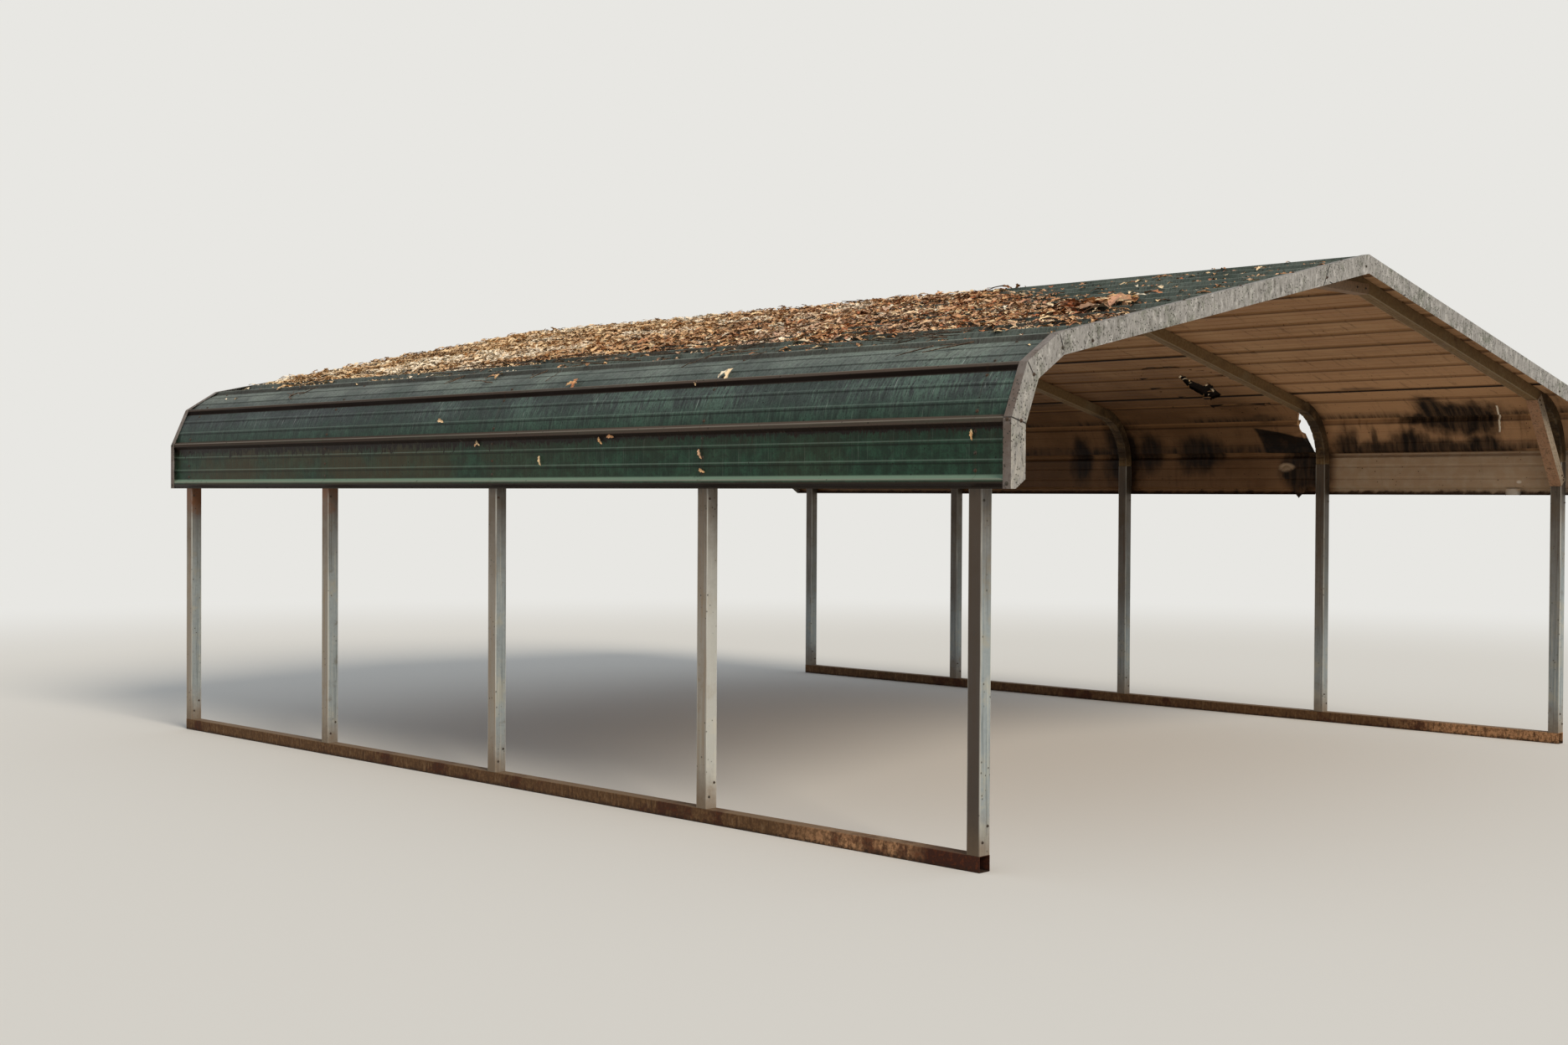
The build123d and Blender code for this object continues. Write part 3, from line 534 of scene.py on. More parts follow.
# In the bend a band of mould sits above each rib
above_rib = add(tree, MAP, below_rib, -0.10, -0.03, 0.0, 1.0, **SOFT)
above_rib = add(tree, MATH, above_rib, add(tree, MAP, below_rib, -0.022, -0.018, 1.0, 0.0), **MUL)
in_bend = add(tree, MAP, along, 2.50, 2.75, 0.0, 0.92, **SOFT)
in_bend = add(tree, MATH, in_bend, add(tree, MAP, along, 3.05, 3.0, 0.0, 1.0), **MUL)
damp = add(tree, MATH, above_rib, in_bend, **MUL)
damp = add(tree, MATH, damp, add(tree, MAP, comb, 0.38, 0.62, 0.55, 1.0, **SOFT), **MUL)
least = add(tree, MAP, front_bay, 0.0, 1.0, 0.15, 0.65)
damp = add(tree, MATH, damp, add(tree, MAP, clouds, 0.38, 0.56, least, 1.0, **SOFT), **MUL)
mould = add(tree, MATH, mould, damp, **TOP)

# The fold is a wedge of painted shadow and mould: an upper edge that falls towards the bow, a slanting near
# edge, and the rib below
upper_edge = add(tree, MATH, y, 0.21, along, **MULADD)
near_edge = add(tree, MATH, along, 0.36, y, **MULADD)
fold_shadow_and_mould = add(tree, MAP, upper_edge, 2.553, 2.566, 0.0, 1.0, **SOFT)
fold_shadow_and_mould = add(tree, MATH, fold_shadow_and_mould, add(tree, MAP, near_edge, -0.015, -0.045, 0.0, 1.0, **SOFT), **MUL)
fold_shadow_and_mould = add(tree, MATH, fold_shadow_and_mould, add(tree, MAP, along, last_rib - 0.012, last_rib - 0.020, 0.0, 0.96), **MUL)
fold_shadow_and_mould = add(tree, MATH, fold_shadow_and_mould, add(tree, MAP, y, -1.49, -1.47, 0.0, 1.0), **MUL)
fold_shadow_and_mould = add(tree, MATH, fold_shadow_and_mould, on_right, **MUL)
crease = add(tree, MAP, patches, 0.46, 0.64, 0.0, 0.8, **SOFT)

# The bent-in lip of the tongue gets a painted highlight where it catches light from below, over a dark
# pocket of painted shadow
tongue_painted_light = add(tree, MATH, smear_at((-1.246, 3.052), (0.060, 0.026), 0.9), on_right, **MUL)

# Laps of the sheets show as a dark line below three of the ribs; the middle one fades towards the front
lap = 0.0
upper_lap = add(tree, MAP, y, -1.5, -1.3, 0.25, 0.97)
for rib_number, strength in zip(LAP_RIBS, (0.4, upper_lap, 0.97)):
    line = add(tree, MATH, along, rib_number * RIB_SPACING + 0.026, **MINUS)
    line = add(tree, MAP, add(tree, MATH, line, **ABS), 0.0110, 0.0060, 0.0, strength)
    lap = add(tree, MATH, lap, line, **TOP)
# Dust, stains, a band along each rib and a dark line at its foot; the rear bays are darker than the first,
# as painted shade
dusty = add(tree, MAP, clouds, 0.40, 0.66, 0.0, 0.65, **SOFT)
stained = add(tree, MAP, bands, 0.52, 0.36, 0.0, 0.55, **SOFT)
run_stain = add(tree, MAP, comb, 0.55, 0.72, 0.0, 0.5, **SOFT)
deeper = add(tree, MAP, along, 1.2, 2.75, 0.0, 0.6, **SOFT)
# Painted shade: the rear bays are darker
rear_bays_shade = add(tree, MAP, y, -1.50, -1.0, 0.0, 0.85, **SOFT)
rear_bays_shade = add(tree, MATH, rear_bays_shade, add(tree, MAP, along, 1.0, 2.5, 0.25, 1.0, **SOFT), **MUL)
rear_bays_shade = add(tree, MATH, rear_bays_shade, add(tree, MAP, clouds, 0.35, 0.62, 1.0, 0.75, **SOFT), **MUL)
channel = add(tree, MAP, from_rib, 0.020, 0.014, 0.0, 0.7, **SOFT)
channel = add(tree, MATH, channel, add(tree, MAP, along, 2.85, 2.6, 0.35, 1.0, **SOFT), **MUL)
# A dark line at the lower foot of each rib
off_foot = add(tree, MATH, add(tree, MATH, below_rib, 0.024, **MINUS), **ABS)
dark_foot_line = add(tree, MAP, off_foot, 0.009, 0.002, 0.0, 0.55, **SOFT)
# The first bay is lit from the front: painted light makes its wall strip lighter, and paler towards the bend
front_wall_light = add(tree, MATH, front_wall, add(tree, MAP, patches, 0.30, 0.62, 0.95, 0.65, **SOFT), **MUL)
front_bay_light = add(tree, MATH, front_bay, add(tree, MAP, along, 1.5, 2.3, 0.0, 0.5, **SOFT), **MUL)
front_bay_light = add(tree, MATH, front_bay_light, add(tree, MAP, along, last_rib - 0.03, last_rib, 1.0, 0.2), **MUL)
eave_dirt = add(tree, MATH, patches, 0.060, along, **MULADD)
eave_dirt = add(tree, MAP, eave_dirt, 3.228, 3.250, 0.0, 0.9, **SOFT)

# Pale marks: a run of bird lime beside the knee brace, a spot of lime at the eave, and a bent lip at the
# eave that is chipped paint with painted sunlight
LIME_Y, LIME_TOP, LIME_SLANT = 2.705, 2.637, 0.178
lime = add(tree, MATH, along, -LIME_SLANT, y, **MULADD)
lime = add(tree, MATH, add(tree, MATH, lime, LIME_Y + LIME_SLANT * LIME_TOP, **PLUS), **ABS)
lime = add(tree, MATH, lime, add(tree, MATH, grain, 0.006, **MUL), **MINUS)
lime = add(tree, MAP, lime, 0.004, 0.001, 0.0, 0.95)
lime = add(tree, MATH, lime, add(tree, MAP, along, LIME_TOP, LIME_TOP + 0.008, 0.0, 1.0), **MUL)
lime = add(tree, MATH, lime, add(tree, MAP, along, 2.848, 2.842, 0.0, 1.0), **MUL)
lime = add(tree, MATH, lime, on_right, **MUL)
chipped_and_sunlit = smear_at((-2.736, 3.215), (0.045, 0.030), 0.9)
spot_of_lime = smear_at((-2.770, 3.150), (0.016, 0.010), 0.9)
chipped_and_sunlit = add(tree, MATH, add(tree, MATH, chipped_and_sunlit, spot_of_lime, **TOP), on_right, **MUL)

inside_colour = coats(
    tree, "#a4805f",
    (dusty, "#b69675"),
    (stained, "#8c6b4e"),
    (deeper, "#926f50"),
    (front_bay_light, "#cda580"),
    (rear_bays_shade, "#50371f"),
    (run_stain, "#57402c"),
    (channel, "#9d7a56"),
    (dark_foot_line, "#37251a"),
    (front_wall_light, "#b6a48e"),
    (eave_dirt, "#241710"),
    (lap, "#0d0805"),
    (mould, "#1a110b"),
    (fold_shadow_and_mould, coats(tree, "#080503", (crease, "#2e2015"))),
    (tongue_painted_light, "#c0ab92"),
    (specks, "#281c13"),
    (lime, "#efe8dc"),
    (chipped_and_sunlit, "#d9d3c8"),
)
colour = coats(tree, inside_colour, (roof.outputs["Outside"], outside_colour))
print("sheet nodes so far:", len(tree.nodes))

# %% Gloss and relief of the sheets
# Old enamel is duller where it has chalked. Heights are in millimetres: waves in the thin sheet, then dirt
gloss = add(tree, MAP, chalk, 0.0, 1.0, 0.45, 0.75)
gloss = add(tree, MATH, gloss, add(tree, MAP, rib_dirt, 0.0, 1.0, 0.0, 0.25), **PLUS)
waves = add(tree, NOISE, links={"Vector": unrolled, "Scale": per_mm(300), "Detail": 1.0})
height = add(tree, MATH, waves, 2.2, **MUL)
height = add(tree, MATH, threads, 0.5, height, **MULADD)
height = add(tree, MATH, grain, 0.35, height, **MULADD)
finish_surface(tree, colour, gloss, 0.0, height, roof.outputs["Facing"], specular=0.15)
print("roof sheet nodes:", len(tree.nodes))

# %% [markdown]
# ## Posts: galvanised tube
# The tube is rolled from zinc-coated strip. Fresh zinc shows a spangle of flat crystals; after years in the
# open it dulls to blue-grey patina with pale runs, and the corners stay bright where the roller pressed
# them. The face that looks out from the carport catches the drip of the eave and carries a brown film, made
# darker with painted shade on the front posts; the faces that look in are brown near the roof, partly as
# painted shade. One post front gets painted light, and the fronts of the right-hand posts painted shade.
# Feet are splashed with dirt.

# %% Zinc of the posts: where each face looks
post_zinc, tree = begin("galvanised tube, weathered zinc patina")
spot = add(tree, "ShaderNodeTexCoord").outputs["Object"]
x, y, z = add(tree, SEPARATE, spot).outputs
shape = add(tree, "ShaderNodeNewGeometry")
nx, ny, _ = add(tree, SEPARATE, shape.outputs["True Normal"]).outputs
outward = add(tree, MATH, nx, add(tree, MATH, x, operation="SIGN"), **MUL)
upright = add(tree, VECTOR, spot, (per_mm(10), per_mm(10), per_mm(420)), **MUL)
runs = add(tree, NOISE, links={"Vector": upright, "Scale": 1.0, "Detail": 4.0, "Roughness": 0.65})
clouds = add(tree, NOISE, links={"Vector": spot, "Scale": per_mm(130), "Detail": 6.0, "Roughness": 0.7})
spangle = add(tree, CELLS, links={"Vector": spot, "Scale": per_mm(14), "Randomness": 1.0})
spangle = add(tree, SEPARATE, spangle.outputs["Color"]).outputs[0]
speck_cells = add(tree, CELLS, links={"Vector": spot, "Scale": per_mm(26)})
specks = add(tree, MAP, speck_cells.outputs["Distance"], 0.20, 0.10, 0.0, 0.85, **SOFT)
specks = add(tree, MATH, specks, add(tree, MAP, clouds, 0.48, 0.56, 0.0, 1.0, **SOFT), **MUL)

# Distance from the middle of the tube, sideways and lengthwise, finds the corners
sideways = add(tree, MATH, add(tree, MATH, x, **ABS), HALF_WIDTH - TUBE / 2, **MINUS)
sideways = add(tree, MATH, sideways, **ABS)
corner = add(tree, MATH, sideways, off_bow(tree, y), operation="MINIMUM")
corner = add(tree, MAP, corner, TUBE / 2 - 0.007, TUBE / 2 - 0.002, 0.0, 0.75, **SOFT)
corner = add(tree, MATH, corner, add(tree, MAP, runs, 0.40, 0.60, 0.3, 1.0, **SOFT), **MUL)
print("post patterns: runs, clouds, spangle, specks, corners")

# %% Zinc of the posts: films and coats
# The first pair of posts, and the second post on the left, whose front is clean zinc with painted light
first = add(tree, MAP, y, -2.0, -2.6, 0.0, 1.0)
on_left = add(tree, MATH, x, 0.0, operation="LESS_THAN")
second_front_clean_and_lit = add(tree, MATH, add(tree, MATH, y, BOW_SPACING, **PLUS), **ABS)
second_front_clean_and_lit = add(tree, MAP, second_front_clean_and_lit, 0.3, 0.2, 0.0, 0.55)
second_front_clean_and_lit = add(tree, MATH, second_front_clean_and_lit, on_left, **MUL)
second_front_clean_and_lit = add(tree, MATH, second_front_clean_and_lit, add(tree, MAP, ny, -0.5, -0.9, 0.0, 1.0), **MUL)
out_face = add(tree, MAP, outward, 0.3, 0.9, 0.0, 1.0)
film = add(tree, MATH, out_face, add(tree, MAP, runs, 0.28, 0.62, 0.95, 0.55, **SOFT), **MUL)
# Painted shade with a dark film on the outer faces of the first pair
dark_film_and_shade = add(tree, MATH, add(tree, MATH, out_face, first, **MUL), 0.88, **MUL)
in_face_film_and_shade = add(tree, MAP, outward, -0.3, -0.9, 0.0, 0.85)
in_face_film_and_shade = add(tree, MATH, in_face_film_and_shade, add(tree, MAP, runs, 0.30, 0.62, 1.0, 0.6, **SOFT), **MUL)
# Rain reaches the lower part of the right-hand posts, and the whole of the first pair, so the brown there is
# weaker; the painted shade on the fronts fades the same way
dry = add(tree, MAP, add(tree, MATH, clouds, 0.3, z, **MULADD), 0.60, 0.95, 0.25, 1.0, **SOFT)
dry = add(tree, MATH, dry, add(tree, MAP, first, 0.0, 1.0, 1.0, 0.55), **MUL)
in_face_film_and_shade = add(tree, MATH, in_face_film_and_shade, dry, **MUL)
# Painted shade on the fronts of the right-hand posts behind the first pair
shaded_front = add(tree, MATH, x, 0.0, operation="GREATER_THAN")
shaded_front = add(tree, MATH, shaded_front, add(tree, MAP, y, -2.4, -1.8, 0.0, 0.9), **MUL)
shaded_front = add(tree, MATH, shaded_front, dry, **MUL)
shaded_front = add(tree, MATH, shaded_front, add(tree, MAP, ny, -0.5, -0.9, 0.0, 0.7), **MUL)
# Brown near the roof, splashed at the foot, and stained where the bow stands in the post
under_roof = add(tree, MAP, add(tree, MATH, clouds, 0.5, z, **MULADD), 1.05, 1.75, 0.0, 0.8, **SOFT)
splashed = add(tree, MAP, add(tree, MATH, clouds, 0.40, z, **MULADD), 0.50, 0.24, 0.0, 0.8, **SOFT)
stain = add(tree, MAP, z, 1.42, 1.46, 0.0, 1.0)
stain = add(tree, MATH, stain, add(tree, MAP, z, 1.60, 1.50, 0.0, 1.0), **MUL)
stain = add(tree, MATH, stain, add(tree, MAP, runs, 0.44, 0.60, 0.0, 0.75, **SOFT), **MUL)
# The last two posts on the left are rusty at the top
rear_left = add(tree, MATH, add(tree, MAP, y, 1.3, 1.4, 0.0, 1.0), on_left, **MUL)
rust = add(tree, MAP, add(tree, MATH, clouds, 0.6, z, **MULADD), 1.50, 1.80, 0.0, 1.0, **SOFT)
rust = add(tree, MATH, rust, rear_left, **MUL)

colour = coats(
    tree, "#8f989b",
    (add(tree, MAP, spangle, 0.0, 1.0, 0.0, 0.35), "#a4acae"),
    (add(tree, MAP, clouds, 0.50, 0.66, 0.0, 0.8, **SOFT), "#a7a69b"),
    (add(tree, MAP, runs, 0.54, 0.68, 0.0, 0.75, **SOFT), "#b9bbb3"),
    (add(tree, MAP, runs, 0.46, 0.32, 0.0, 0.8, **SOFT), "#62696a"),
    (add(tree, MAP, clouds, 0.44, 0.30, 0.0, 0.7, **SOFT), "#6b6457"),
    (second_front_clean_and_lit, "#d8d5cb"),
    (shaded_front, "#514a3c"),
    (in_face_film_and_shade, "#5c4833"),
    (film, "#938069"),
    (dark_film_and_shade, "#33261b"),
    (under_roof, "#4c3c2a"),
    (corner, "#c3c5bf"),
    (stain, "#3c342a"),
    (splashed, "#6e5a42"),
    (add(tree, MATH, dark_film_and_shade, 0.45, **MUL), "#3a2c20"),
    (rust, "#744c31"),
    (specks, "#3a3630"),
)
dirty = add(tree, MATH, film, add(tree, MATH, splashed, in_face_film_and_shade, **TOP), **TOP)
metal = add(tree, MAP, dirty, 0.0, 0.6, 0.5, 0.0)
gloss = add(tree, MAP, clouds, 0.3, 0.7, 0.50, 0.68)
height = add(tree, MATH, runs, 0.2, add(tree, MATH, clouds, 0.7, **MUL), **MULADD)
finish_surface(tree, colour, gloss, metal, height)
print("post nodes:", len(tree.nodes))

# %% [markdown]
# ## Bows and braces: zinc under a brown film
# The bent rafters are the same tube, but no rain washes them. Dust and damp have given them a brown film,
# darker on the bend where the crimps hold dirt, and only the corners are rubbed back to grey. The braces are
# folded channel. The front of the knee braces is painted pale as painted sunlight; those under the ridge
# stay as brown as the bows.

# %% Zinc of the bows
bow_zinc, tree = begin("galvanised tube, brown dust film")
spot = add(tree, "ShaderNodeTexCoord").outputs["Object"]
x, y, z = add(tree, SEPARATE, spot).outputs
width = add(tree, MATH, x, **ABS)
clouds = add(tree, NOISE, links={"Vector": spot, "Scale": per_mm(110), "Detail": 6.0, "Roughness": 0.75})
fine = add(tree, NOISE, links={"Vector": spot, "Scale": per_mm(16), "Detail": 3.0, "Roughness": 0.6})
drawn = add(tree, VECTOR, spot, (per_mm(300), per_mm(8), per_mm(300)), **MUL)
lines = add(tree, NOISE, links={"Vector": drawn, "Scale": 1.0, "Detail": 3.0})
in_bend = add(tree, MAP, width, 2.25, 2.45, 0.0, 1.0, **SOFT)
in_bend = add(tree, MATH, in_bend, add(tree, MAP, z, 1.66, 1.72, 0.0, 1.0), **MUL)
dark = add(tree, MATH, in_bend, add(tree, MAP, clouds, 0.34, 0.58, 0.25, 0.9, **SOFT), **MUL)
bare = add(tree, MAP, lines, 0.55, 0.72, 0.0, 0.55, **SOFT)
off_middle = off_bow(tree, y)
corner = add(tree, MAP, off_middle, TUBE / 2 - 0.009, TUBE / 2 - 0.004, 0.0, 0.55, **SOFT)
side_face = add(tree, MAP, off_middle, TUBE / 2 - 0.001, TUBE / 2 - 0.0005, 1.0, 0.25)
corner = add(tree, MATH, corner, side_face, **MUL)
colour = coats(
    tree, "#69512f",
    (add(tree, MAP, fine, 0.40, 0.65, 0.0, 0.6, **SOFT), "#7f6845"),
    (bare, "#8b8067"),
    (add(tree, MAP, lines, 0.45, 0.30, 0.0, 0.7, **SOFT), "#473522"),
    (add(tree, MAP, clouds, 0.58, 0.70, 0.0, 0.85, **SOFT), "#4f321d"),
    (corner, "#8d8069"),
    (dark, "#2e2115"),
)
metal = add(tree, MAP, bare, 0.0, 0.6, 0.0, 0.4)
height = add(tree, MATH, fine, 0.2, add(tree, MATH, clouds, 0.6, **MUL), **MULADD)
finish_surface(tree, colour, add(tree, MAP, clouds, 0.3, 0.7, 0.6, 0.8), metal, height, specular=0.3)
print("bow nodes:", len(tree.nodes))

# %% Zinc of the braces
brace_zinc, tree = begin("galvanised channel, front painted light")
spot = add(tree, "ShaderNodeTexCoord").outputs["Object"]
shape = add(tree, "ShaderNodeNewGeometry")
ny = add(tree, SEPARATE, shape.outputs["True Normal"]).outputs[1]
# Low is 1 on the knee braces and 0.2 under the ridge
low = add(tree, MAP, add(tree, SEPARATE, spot).outputs[2], 2.25, 2.15, 0.2, 1.0)
clouds = add(tree, NOISE, links={"Vector": spot, "Scale": per_mm(80), "Detail": 6.0, "Roughness": 0.75})
fine = add(tree, NOISE, links={"Vector": spot, "Scale": per_mm(12), "Detail": 3.0})
# Painted sunlight makes the front faces of the knee braces pale
front_painted_light = add(tree, MATH, add(tree, MAP, ny, -0.4, -0.9, 0.0, 0.9), low, **MUL)
dusty = add(tree, MATH, add(tree, MAP, clouds, 0.42, 0.64, 0.0, 0.7, **SOFT), low, **MUL)
colour = coats(
    tree, "#705638",
    (low, "#997356"),
    (dusty, "#a98468"),
    (front_painted_light, "#9c9180"),
    (add(tree, MAP, fine, 0.52, 0.34, 0.0, 0.6, **SOFT), "#5d4d3c"),
    (add(tree, MAP, clouds, 0.60, 0.70, 0.0, 0.8, **SOFT), "#5a3d27"),
)
height = add(tree, MATH, fine, 0.2, add(tree, MATH, clouds, 0.6, **MUL), **MULADD)
finish_surface(tree, colour, 0.62, add(tree, MAP, front_painted_light, 0.0, 0.9, 0.05, 0.4), height)
print("brace nodes:", len(tree.nodes))

# %% [markdown]
# ## Gable trim: mottled galvanised angle
# The trim is thin galvanised sheet folded to an angle. Water stands on its top edge and runs over the face,
# so the zinc has gone blotchy: pale white rust, grey-green algae, dark specks and short runs. At each knee
# the angle was snipped and bent, and one piece laps over the next: a dark line at a slant to the edge. The
# flange over the roof has turned purple-brown like the ribs under it.

# %% Zinc of the gable trim: blotches and laps
trim_zinc, tree = begin("galvanised angle, mottled zinc and algae")
spot = add(tree, "ShaderNodeTexCoord").outputs["Object"]
x, _, z = add(tree, SEPARATE, spot).outputs
width = add(tree, MATH, x, **ABS)
shape = add(tree, "ShaderNodeNewGeometry")
ny = add(tree, SEPARATE, shape.outputs["True Normal"]).outputs[1]
upright = add(tree, VECTOR, spot, (per_mm(13), per_mm(13), per_mm(80)), **MUL)
runs = add(tree, NOISE, links={"Vector": upright, "Scale": 1.0, "Detail": 5.0, "Roughness": 0.75})
clouds = add(tree, NOISE, links={"Vector": spot, "Scale": per_mm(120), "Detail": 6.0, "Roughness": 0.75})
slanted = {"Rotation": (0, radians(24), 0), "Scale": (per_mm(26), per_mm(26), per_mm(52))}
slanted = add(tree, "ShaderNodeMapping", spot, links=slanted)
mottle = add(tree, NOISE, links={"Vector": slanted, "Scale": 1.0, "Detail": 5.0, "Roughness": 0.75})
speck_cells = add(tree, CELLS, links={"Vector": spot, "Scale": per_mm(13)})
specks = add(tree, MAP, speck_cells.outputs["Distance"], 0.34, 0.20, 0.0, 0.9, **SOFT)
specks = add(tree, MATH, specks, add(tree, MAP, clouds, 0.42, 0.52, 0.0, 1.0, **SOFT), **MUL)
flange = add(tree, MAP, add(tree, MATH, ny, **ABS), 0.7, 0.3, 0.0, 1.0)
film = add(tree, MATH, flange, add(tree, MAP, clouds, 0.35, 0.6, 0.65, 0.97, **SOFT), **MUL)
film = add(tree, MATH, film, add(tree, MAP, z, 2.25, 1.9, 0.35, 1.0, **SOFT), **MUL)
low = add(tree, MAP, z, 2.0, 1.6, 0.0, 1.0, **SOFT)

# A lap is the line through one point with a slope; it shows only near that point. Each is a distance from
# the middle, a height, a slope, how far it reaches, and whether it is on the left only
LAPS = (
    (2.7195, 1.7125, 0.236, 0.045, False), (2.6475, 1.910, 1.35, 0.0185, False),
    (2.4525, 2.019, 2.26, 0.0155, False), (0.411, 2.444, -1.77, 0.060, True),
    (0.358, 2.423, 0.2, 0.022, False),
)
laps = 0.0
for place, height, slope, reach, only_left in LAPS:
    off = add(tree, MATH, width, place, **MINUS)
    rise = add(tree, MATH, z, height, **MINUS)
    line = add(tree, MATH, off, -slope, rise, **MULADD)
    line = add(tree, MATH, add(tree, MATH, line, **ABS), (1 + slope * slope) ** -0.5, **MUL)
    line = add(tree, MAP, line, 0.0042, 0.0018, 0.0, 0.95)
    shown = add(tree, MAP, add(tree, MATH, off, **ABS), reach, reach - 0.004, 0.0, 1.0)
    line = add(tree, MATH, line, shown, **MUL)
    if only_left:
        line = add(tree, MATH, line, add(tree, MATH, x, 0.0, operation="LESS_THAN"), **MUL)
    laps = add(tree, MATH, laps, line, **TOP)
print("trim patterns: runs, clouds, mottle, specks, laps")

# %% Zinc of the gable trim: coats
colour = coats(
    tree, "#918f8c",
    (add(tree, MAP, clouds, 0.50, 0.62, 0.0, 0.85, **SOFT), "#74766c"),
    (add(tree, MAP, mottle, 0.51, 0.66, 0.0, 0.80, **SOFT), "#bdbcb9"),
    (add(tree, MAP, mottle, 0.46, 0.34, 0.0, 0.85, **SOFT), "#4d4b44"),
    (add(tree, MAP, runs, 0.55, 0.70, 0.0, 0.55, **SOFT), "#b5b3ac"),
    (add(tree, MAP, runs, 0.46, 0.32, 0.0, 0.70, **SOFT), "#504d43"),
    (add(tree, MATH, low, add(tree, MAP, mottle, 0.42, 0.60, 0.0, 0.6, **SOFT), **MUL), "#a39f95"),
    (film, "#675951"),
    (specks, "#2c2923"),
    (laps, "#15120f"),
)
metal = add(tree, MAP, film, 0.0, 0.6, 0.3, 0.05)
height = add(tree, MATH, mottle, 0.4, add(tree, MATH, clouds, 1.2, **MUL), **MULADD)
finish_surface(tree, colour, add(tree, MAP, mottle, 0.3, 0.7, 0.55, 0.78), metal, height, specular=0.4)
print("trim nodes:", len(tree.nodes))

# %% [markdown]
# ## Base rails: rust and dirt
# The rails have lain in the wet for years. Little zinc is left: the sides are a mix of tan dirt and red
# rust, worst at the front left end, with a greyer, lighter top. The lower edge is darkest.

# %% Rusty rails
rail_rust, tree = begin("galvanised tube, tan dirt and red rust")
spot = add(tree, "ShaderNodeTexCoord").outputs["Object"]
x, y, z = add(tree, SEPARATE, spot).outputs
shape = add(tree, "ShaderNodeNewGeometry")
nz = add(tree, SEPARATE, shape.outputs["True Normal"]).outputs[2]
clouds = add(tree, NOISE, links={"Vector": spot, "Scale": per_mm(260), "Detail": 6.0, "Roughness": 0.7})
fine = add(tree, NOISE, links={"Vector": spot, "Scale": per_mm(20), "Detail": 4.0, "Roughness": 0.75})
runs = add(tree, VECTOR, spot, (per_mm(14), per_mm(14), per_mm(60)), **MUL)
runs = add(tree, NOISE, links={"Vector": runs, "Scale": 1.0, "Detail": 3.0})
on_left = add(tree, MATH, x, 0.0, operation="LESS_THAN")
end_rust = add(tree, MAP, add(tree, MATH, clouds, 0.8, y, **MULADD), -2.15, -2.50, 0.0, 1.0, **SOFT)
end_rust = add(tree, MATH, end_rust, on_left, **MUL)
rust = add(tree, MATH, end_rust, add(tree, MAP, clouds, 0.52, 0.62, 0.0, 0.8, **SOFT), **TOP)
near_end = add(tree, MAP, y, -1.9, -2.4, 0.0, 0.85, **SOFT)
near_end = add(tree, MATH, near_end, add(tree, MAP, fine, 0.40, 0.58, 0.25, 1.0, **SOFT), **MUL)
lighter_top = add(tree, MAP, nz, 0.5, 0.9, 0.0, 0.8)
muddy = add(tree, MAP, add(tree, MATH, fine, 0.03, z, **MULADD), 0.036, 0.014, 0.0, 0.9, **SOFT)
colour = coats(
    tree, "#5a4028",
    (add(tree, MAP, fine, 0.45, 0.66, 0.0, 0.7, **SOFT), "#7c5d3f"),
    (near_end, "#c8986f"),
    (add(tree, MAP, runs, 0.55, 0.72, 0.0, 0.5, **SOFT), "#8b7154"),
    (add(tree, MAP, runs, 0.45, 0.30, 0.0, 0.75, **SOFT), "#422d1d"),
    (rust, "#3c1e13"),
    (add(tree, MATH, rust, add(tree, MAP, fine, 0.48, 0.66, 0.0, 0.75, **SOFT), **MUL), "#63331c"),
    (add(tree, MATH, lighter_top, add(tree, MAP, rust, 0.0, 1.0, 1.0, 0.45), **MUL), "#7f6b55"),
    (muddy, "#261a12"),
)
height = add(tree, MATH, fine, 0.6, add(tree, MATH, clouds, 0.8, **MUL), **MULADD)
finish_surface(tree, colour, add(tree, MAP, fine, 0.3, 0.7, 0.75, 0.95), 0.0, height, specular=0.25)
print("rail nodes:", len(tree.nodes))

# %% Put the finishes on the solids
FINISHES = {
    "roof_sheet": sheet_paint, "post": post_zinc, "bow": bow_zinc, "peak_brace": brace_zinc,
    "knee_brace": brace_zinc, "trim": trim_zinc, "base_rail": rail_rust,
}
for node_name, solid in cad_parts.items():
    finish = next(material for start, material in FINISHES.items() if node_name.startswith(start))
    for place in solid.material_slots:
        place.material = finish
    if not solid.material_slots:
        solid.data.materials.append(finish)
print("finished solids:", len(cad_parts))

# %% [markdown]
# ## Screws
# Every sheet is held by self-drilling screws: a hexagon head on a round washer. There are hundreds of the
# same thing on known places, which is what Geometry Nodes are for. A carrier mesh has one vertex for each
# screw and the way that it faces; the tree puts a washer and a head there and gives each its own turn.

# %% Geometry Nodes: screws on points
RANDOM, ATTRIBUTE = "FunctionNodeRandomValue", "GeometryNodeInputNamedAttribute"
TO_ROTATION, ROTATE = "FunctionNodeEulerToRotation", "FunctionNodeRotateRotation"
ALIGN, CONE = "FunctionNodeAlignRotationToVector", "GeometryNodeMeshCone"
INSTANCE, REALIZE = "GeometryNodeInstanceOnPoints", "GeometryNodeRealizeInstances"
screw_tree = new_group("screws on points", "GeometryNodeTree", {
    "Points": "Geometry", "Washer Radius": "Float", "Washer Height": "Float", "Head Radius": "Float",
    "Head Height": "Float", "Seed": "Int", "Finish": "Material"}, {"Screws": "Geometry"})
given = add(screw_tree, "NodeGroupInput").outputs
rim = add(screw_tree, MATH, given["Washer Radius"], 0.72, **MUL)
washer = add(screw_tree, CONE, links={
    "Vertices": 10, "Radius Top": rim, "Radius Bottom": given["Washer Radius"],
    "Depth": given["Washer Height"]})
crown = add(screw_tree, MATH, given["Head Radius"], 0.88, **MUL)
